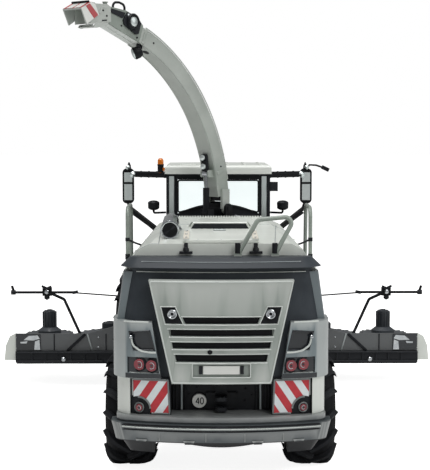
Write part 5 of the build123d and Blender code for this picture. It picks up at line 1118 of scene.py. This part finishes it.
# %% Mirror clamps, stays, aerial, beacon stem, and the handrails' struts
AERIAL_Y = 140.8
clamp_profile = [(-1.7, 0.5), (-1.3, 1.2), (-0.4, 1.7), (0.6, 1.7), (1.4, 1.1), (1.75, 0.3)]
bright, rods = [], []
for side in (1, -1):
    bright.append(turned(clamp_profile, (side * 44.2, 139.6, 116.4), (side * 0.3, -1, 0.2), 18))
    eye_at = (side * 46.8, 139.2, 120.2)
    bright.append(turned([(-0.8, 0.4), (-0.3, 1.1), (0.5, 1.1), (1.0, 0.4)], eye_at, BACK, 14))
    stay = [(side * 45.2, 140.2, 96.4), (side * 36.0, 135.6, 90.2), (side * 27.0, 130.6, 83.2)]
    rods.append(carried(stay, round_rod(0.55)))
    foot_at = (side * 46.2, AERIAL_Y, 118.4)
    rods.append(turned([(0, 1.2), (2.6, 1.0), (4.2, 0.35), (4.6, 0.1)], foot_at, UP, 12))
    for k in range(4):
        rib_at = (side * (27.2 + 4.2 * k), 131.0 + 2.66 * k, 116.6)
        rods.append(ring(rib_at, (side * 0.84, 0.52, 0), 1.55, 0.28))
aerial = [(47.0, AERIAL_Y, 119.0), (48.4, AERIAL_Y, 121.4), (52.0, AERIAL_Y, 121.2), (56.0, AERIAL_Y, 119.8)]
rods.append(carried(aerial, round_rod(0.5), BACK))
rods.append(bar((54.8, AERIAL_Y, 120.4), (58.6, AERIAL_Y, 118.6), 2.0, 1.4, BACK))
make_piece("mirror_clamps", bright, "mirror_silver")
make_piece("mirror_stays", rods, "dark_plastic")
stem_profile = [(0, 1.2), (0.4, 1.5), (3.2, 1.5), (3.9, 1.7), (4.2, 1.6)]
make_piece("beacon_stem", [turned(stem_profile, (-28.2, 100.0, 118.7), UP, 20)], "dark_plastic")
dome_profile = [(-2.3, 0.9), (-1.9, 2.0), (-1.35, 2.7), (1.35, 2.8), (1.9, 2.35), (2.3, 1.4), (2.45, 0.1)]
domes = [turned(dome_profile, (side * 31.0, 83.0, 103.6), UP, 28) for side in (1, -1)]
make_piece("side_lamp_domes", domes, "dark_plastic")
RAIL_X = 41.4
rail_struts = []
for side in (1, -1):
    strut = [(side * RAIL_X, 46.2, 90.4), (side * 37.6, 45.4, 88.8), (side * 35.2, 45.0, 88.0)]
    rail_struts.append(carried(strut, round_rod(0.45)))
    rail_struts.append(turned([(-0.8, 1.05), (0.8, 1.05)], (side * RAIL_X, 46.4, 90.4), UP, 14))
    rail_struts.append(turned([(-1.2, 1.1), (1.2, 1.1)], (side * RAIL_X, 46.1, 82.6), UP, 14))
for x in (6.6, 21.2):
    rail_struts.append(turned([(0, 1.15), (4.2, 1.1), (4.4, 0.95)], (x, -30.0, 91.2), UP, 14))
make_piece("handrail_struts", rail_struts, "dark_plastic")
print("cab trim done,", len(made), "pieces")

# %% [markdown]
# ## Header
# Behind the rotors runs a black beam in sections, with bright pivot bolts. The end boxes are polished, and
# chrome patches on them are painted glints. A black diagonal stiffener crosses the back plates, two grey
# strips on them are painted highlight lines, and butterfly clamps hold the push bars.

# %% Trim of the header's back
PLATES_Y, BEAM_Y = 159.8, 157.9  # rear faces of the back plates and of the beam


def back_plate_piece(outline, y, thick):
    """Flat plate over an outline of (x, z), from y on towards the tail."""
    x, z = np.asarray(outline, float).T
    return plate(*(np.stack([x, np.full(len(x), face), z], -1) for face in (y, y - thick)))


def upright(x, y, low, high, width, thick):
    """Bar that stands from z low to z high on a face at y."""
    return bar((x, y, low), (x, y, high), width, thick, BACK)


gloss = [upright(102.6, PLATES_Y - 0.1, 19.9, 28.8, 13.2, 0.55)]
# Chrome patches on the polished end box are painted glints.
GLINTS = ([(105.2, 25.6), (102.4, 27.9), (97.6, 28.2), (96.4, 26.4), (99.6, 25.4)],
          [(99.0, 24.8), (96.6, 25.8), (96.2, 20.3), (99.4, 20.3)],
          [(107.0, 24.6), (103.0, 25.0), (103.6, 23.8), (106.8, 23.8)])
shine = [back_plate_piece(outline, PLATES_Y - 0.6, 0.3) for outline in GLINTS]
# Both grey strips are painted highlight lines on the back plates.
pale = [bar((70.6, PLATES_Y, 28.9), (67.9, PLATES_Y, 19.6), 0.8, 0.5, BACK),
        bar((47.4, PLATES_Y, 34.6), (45.8, PLATES_Y, 20.0), 0.5, 0.4, BACK)]
black = [bar((71.6, PLATES_Y, 28.8), (81.6, PLATES_Y, 19.6), 1.5, 0.8, BACK)]
black += [upright(x, BEAM_Y + 0.05, 13.8, 19.2, 0.9, 0.7)
          for x in (100.5, 93.4, 86.8, 79.4, 72.0, 65.4, 56.0, 46.0, 36.0, 26.0)]
black.append(bar((24.0, BEAM_Y, 19.0), (109.0, BEAM_Y, 19.0), 0.9, 0.9, BACK))
black.append(bar((62.0, BEAM_Y, 13.9), (109.0, BEAM_Y, 13.9), 1.4, 0.9, BACK))
black += [upright(x, PLATES_Y, 20.0, 29.0 + max(0.0, 55.5 - x) * 0.18, 0.6, 0.5)
          for x in (88.6, 60.4, 36.0, 28.0)]
shine.append(turned([(0, 1.25), (0.9, 1.2), (1.3, 0.8), (1.4, 0.2)], (83.4, 157.6, 15.3), BACK, 18))
PLATE_BOLTS = ((109.0, 21.2), (109.0, 27.2), (64.6, 27.0), (64.6, 21.6), (52, 30.6), (52, 21.6),
               (41, 32.4), (41, 21.6), (31, 34.0), (31, 21.6))
shine += [bolt((x, PLATES_Y - 0.1, z), BACK, 0.45, 0.45) for x, z in PLATE_BOLTS]
BUTTERFLY = [(89.8, 54.4), (91.6, 53.4), (92.4, 52.4), (93.2, 53.4), (95.4, 54.6), (95.0, 55.6), (92.4, 54.4),
             (90.2, 55.4)]
black.append(back_plate_piece(BUTTERFLY, 160.9, 0.9))
black.append(turned([(-1.6, 0.3), (-0.9, 1.5), (0.6, 1.5), (1.6, 0.4)], (92.5, 161.6, 48.9), UP, 18))
black.append(turned([(0, 1.3), (2.4, 1.3)], (109.6, 162.0, 51.4), OUT, 12))
black.append(bar((75.6, 162.0, 51.8), (78.6, 162.0, 51.2), 1.6, 1.4, BACK))
shine.append(turned([(0, 1.35), (0.8, 1.2), (1.1, 0.7), (1.15, 0.2)], (92.4, 160.6, 51.9), BACK, 18))
for name, halves, finish in (("header_end_boxes", gloss, "gloss_anthracite"),
                             ("header_black_trim", black, "dark_plastic"),
                             ("header_bright_trim", shine, "chrome_plate"),
                             ("header_highlight_lines", pale, "grey_metallic")):
    make_piece(name, [part for half in halves for part in both_sides(half)], finish, "header")

# %% Rotor caps
# name, x, y, top z, cap radius
ROTORS = [
    ("outer", 94.2, 186.0, 37.4, 3.4),
    ("middle", 60.15, 184.0, 31.0, 4.2),
    ("inner", 20.2, 184.0, 31.0, 4.3),
]
for name, x, y, top, r in ROTORS:
    cap_profile = [(-0.2, r), (0.3, r), (0.7, 0.85 * r), (0.9, 0.5 * r), (1.3, 0.35 * r), (1.4, 0.1 * r)]
    bolt_r = 0.68 * r
    for side_name, side in (("left", -1), ("right", 1)):
        place = np.array([side * x, y, top])
        cap = [turned(cap_profile, place, UP, 24)]
        cap += [bolt(place + (bolt_r * math.cos(a), bolt_r * math.sin(a), 0.5), UP, 0.42, 0.5)
                for a in np.linspace(0, 2 * np.pi, 6, endpoint=False)]
        make_piece(f"rotor_cap_{name}_{side_name}", cap, "gloss_anthracite", f"crop_rotor_{name}_{side_name}")

# %% [markdown]
# ## Deck, sides and chassis
# Walkways are cast with a lozenge tread. One small pyramid is repeated over a grid of places as a single
# array. The sides get hinges, handles and joints, and the tool boxes get latches, so that no side is left
# bare.

# %% Lozenge tread
def lozenges(x, y, z, length=1.5, width=0.6, height=0.22):
    """Pyramid over each place: four corners and a blunt top, turned alternately by 45 degrees either way."""
    x, y = x.ravel(), y.ravel()
    turn = np.where((np.arange(len(x)) % 2) == 0, 0.785, -0.785)
    corner = np.array([(-length / 2, 0), (0, -width / 2), (length / 2, 0), (0, width / 2)])
    c, s = np.cos(turn)[:, None], np.sin(turn)[:, None]
    base = np.stack([x[:, None] + corner[:, 0] * c - corner[:, 1] * s,
                     y[:, None] + corner[:, 0] * s + corner[:, 1] * c], -1)
    middle = np.stack([x, y], -1)[:, None]
    top = middle + (base - middle) * 0.45
    points = np.concatenate([np.dstack([base, np.full(base.shape[:2], z)]),
                             np.dstack([top, np.full(top.shape[:2], z + height)])], 1)
    step = (np.arange(len(x)) * 8)[:, None, None]
    quads = np.vstack([grid_faces(2, 4), [[0, 1, 2, 3]], [[4, 5, 6, 7]]])
    return points.reshape(-1, 3), [(quads[None] + step).reshape(-1, 4)]


gx, gy = np.meshgrid(np.arange(-45, 45.1, 1.9), np.arange(69, 136, 1.9))
# The tread stays clear of the cab, and of the turret behind it.
free = (np.abs(gx) > 26.5) | ((gy < 83.0) & (np.hypot(gx, gy - TURRET_Y) > 15.5))
make_piece("deck_tread", [lozenges(gx[free], gy[free], 69.15)], "dark_plastic", smooth=False)
tread_x, tread_y = np.meshgrid(np.arange(-45.0, -41.0, 1.4), np.arange(48.6, 59.4, 1.4))
steps = [lozenges(tread_x, tread_y, 20.5 + 10.5 * k) for k in range(5)]
make_piece("ladder_tread", steps, "dark_plastic", smooth=False)


# %% Side panels: joints, handles and latches
PANEL_X, BELT_Z = 41.0, 66.0


def panel_x(z):
    """Outer face of the side panel at height z: upright to the belt, then leaning in by 2.6 over 18.7 mm."""
    return PANEL_X - 2.6 * np.clip((np.asarray(z, float) - BELT_Z) / 18.7, 0, 1)


side_dark, side_bright, side_pale = [], [], []
for y, foot_z in ((-9.0, 68.5), (20.5, 68.5), (54.5, 45.5)):
    z = np.linspace(foot_z, 83.6, 12)
    joint = np.stack([panel_x(z) - 0.04, np.full(12, y), z], -1)
    side_dark += both_sides(carried(joint, flat_bar(0.4, 0.12), OUT))
along = np.linspace(-30.0, 56.0, 30)
belt = np.stack([np.full(30, PANEL_X - 0.06), along, np.full(30, BELT_Z)], -1)
side_dark += both_sides(carried(belt, flat_bar(0.5, 0.15), OUT))
for y, z in ((-4.0, 76.0), (14.0, 76.0), (50.6, 52.0), (50.6, 60.0)):
    side_bright += both_sides(bolt((float(panel_x(z)), y, z), (1, 0, 0.1), 0.9, 0.5))
side_pale += both_sides(bar((40.0, -4.0, 80.4), (40.0, 12.0, 80.4), 1.0, 0.7, (1, 0, 0.14)))
for y in (28.0, 48.0):
    z = np.linspace(69.2, 82.6, 6)
    side_pale += both_sides(carried(np.stack([panel_x(z), np.full(6, y), z], -1), flat_bar(0.5, 0.35), OUT))
make_piece("side_joints", side_dark, "dark_plastic")
make_piece("side_latches", side_bright, "chrome_plate")
make_piece("side_grips", side_pale, "body_paint")

# %% Tool boxes and feeder house
BOX_X = 37.78
BOX_ENDS, BOX_LEVELS = (38.0, 61.0), (28.6, 41.4)
box_trim = []
for z in BOX_LEVELS:
    box_trim += both_sides(bar((BOX_X, BOX_ENDS[0], z), (BOX_X, BOX_ENDS[1], z), 0.7, 0.35, OUT))
for y in (BOX_ENDS[0], 49.5, BOX_ENDS[1]):
    box_trim += both_sides(bar((BOX_X, y, BOX_LEVELS[0]), (BOX_X, y, BOX_LEVELS[1]), 0.7, 0.35, OUT))
for y in (43.7, 55.2):
    box_trim += both_sides(bar((BOX_X, y - 1.2, 35.0), (BOX_X, y + 1.2, 35.0), 1.6, 0.7, OUT))
make_piece("tool_box_trim", box_trim, "gloss_anthracite")
feeder_ribs = [bar((x, 127.8, 54.6), (x, 156.6, 37.2), 1.2, 0.9) for x in (-18.0, -9.0, 9.0, 18.0)]
make_piece("feeder_ribs", feeder_ribs, "header_grey", "header")
housing_bolts = [bolt((x, 124.6, 57.0), (0, 1, 0.1), 0.6, 0.5) for x in (-16, -8, 0, 8, 16)]
make_piece("housing_bolts", housing_bolts, "chrome_plate")
print("new pieces:", len(made), "with", sum(made.values()), "triangles, the largest", max(made.values()))


# %% [markdown]
# ## Studio
# The model stands on a pale sweep of card. A large soft lamp above gives the broad light of a product
# photograph, a weaker one behind the tail opens its shadows, a third comes from the right side, and the
# world adds an even fill. The card and the world show white to the camera and through glass, and the card
# still takes the model's shadow.

# %% Floor, lamps and camera
floor_mesh = bpy.data.meshes.new("floor")
floor_mesh.from_pydata([(-6, -6, 0), (6, -6, 0), (6, 6, 0), (-6, 6, 0)], [], [(0, 1, 2, 3)])
floor = bpy.data.objects.new("floor", floor_mesh)
bpy.context.scene.collection.objects.link(floor)
card, tree, place = start_material("white card")
fibre = put(tree, "ShaderNodeTexNoise", {"Vector": place, "Scale": 40.0})
matte = put(tree, "ShaderNodeBsdfDiffuse", {"Color": blend(tree, fibre.outputs["Fac"], "#F2F2F1", "#EEEEED")})
rays = put(tree, "ShaderNodeLightPath")
lift = put(tree, "ShaderNodeEmission", {"Color": (1, 1, 1, 1), "Strength": 0.9})
seen = put(tree, "ShaderNodeMath", {0: rays.outputs["Is Camera Ray"], 1: rays.outputs["Is Transmission Ray"]},
           operation="MAXIMUM")
none = put(tree, "ShaderNodeEmission", {"Strength": 0.0})
glow = put(tree, "ShaderNodeMixShader", {0: seen.outputs[0], 1: none.outputs[0], 2: lift.outputs[0]})
finish_material(tree, put(tree, "ShaderNodeAddShader", {0: matte.outputs[0], 1: glow.outputs[0]}))
floor.data.materials.append(card)

world = bpy.data.worlds.new("studio")
bpy.context.scene.world = world
world.use_nodes = True
sky = world.node_tree
sky.nodes.clear()
rays = put(sky, "ShaderNodeLightPath")
shown = put(sky, "ShaderNodeMath", {0: rays.outputs["Is Camera Ray"], 1: rays.outputs["Is Transmission Ray"]},
            operation="MAXIMUM")
half = put(sky, "ShaderNodeMath", {0: rays.outputs["Is Glossy Ray"], 1: 0.12}, operation="MULTIPLY")
seen = put(sky, "ShaderNodeMath", {0: shown.outputs[0], 1: half.outputs[0]}, operation="MAXIMUM")
fill = put(sky, "ShaderNodeBackground", {"Color": (1, 1, 1, 1), "Strength": 0.2})
white = put(sky, "ShaderNodeBackground", {"Color": (1, 1, 1, 1), "Strength": 1.0})
mix = put(sky, "ShaderNodeMixShader", {0: seen.outputs[0], 1: fill.outputs[0], 2: white.outputs[0]})
put(sky, "ShaderNodeOutputWorld", {"Surface": mix.outputs[0]})

# name, place in metres, watts, size in metres
LAMPS = [
    ("top", (-0.10, -0.15, 1.05), 8.0, 0.7),
    ("tail", (0.45, -0.90, 0.75), 3.6, 0.5),
    ("side", (0.9, -0.2, 0.45), 1.2, 0.6),
]
for name, spot, watts, size in LAMPS:
    lamp = bpy.data.lights.new(name, "AREA")
    lamp.energy = watts
    lamp.size = size
    holder = bpy.data.objects.new(name, lamp)
    holder.location = spot
    aim = np.array([0.0, 0.0, 0.07]) - np.array(spot)
    lean = math.acos(-aim[2] / np.linalg.norm(aim))
    holder.rotation_euler = (lean, 0, math.atan2(aim[1], aim[0]) - math.pi / 2)
    bpy.context.scene.collection.objects.link(holder)

# The lens is 98 mm on a 36 mm frame whose long side is the picture's height.
camera = bpy.data.cameras.new("camera")
camera.lens = 98.0
camera.sensor_width = 36.0
camera_holder = bpy.data.objects.new("camera", camera)
camera_holder.location = (-0.006, (REAR_AXLE_Y - 531.0) * MM, 0.1406)
camera_holder.rotation_euler = (math.radians(90 - 4.775), 0, math.radians(-0.416))
bpy.context.scene.collection.objects.link(camera_holder)
bpy.context.scene.camera = camera_holder
bpy.context.scene.view_settings.view_transform = "Standard"
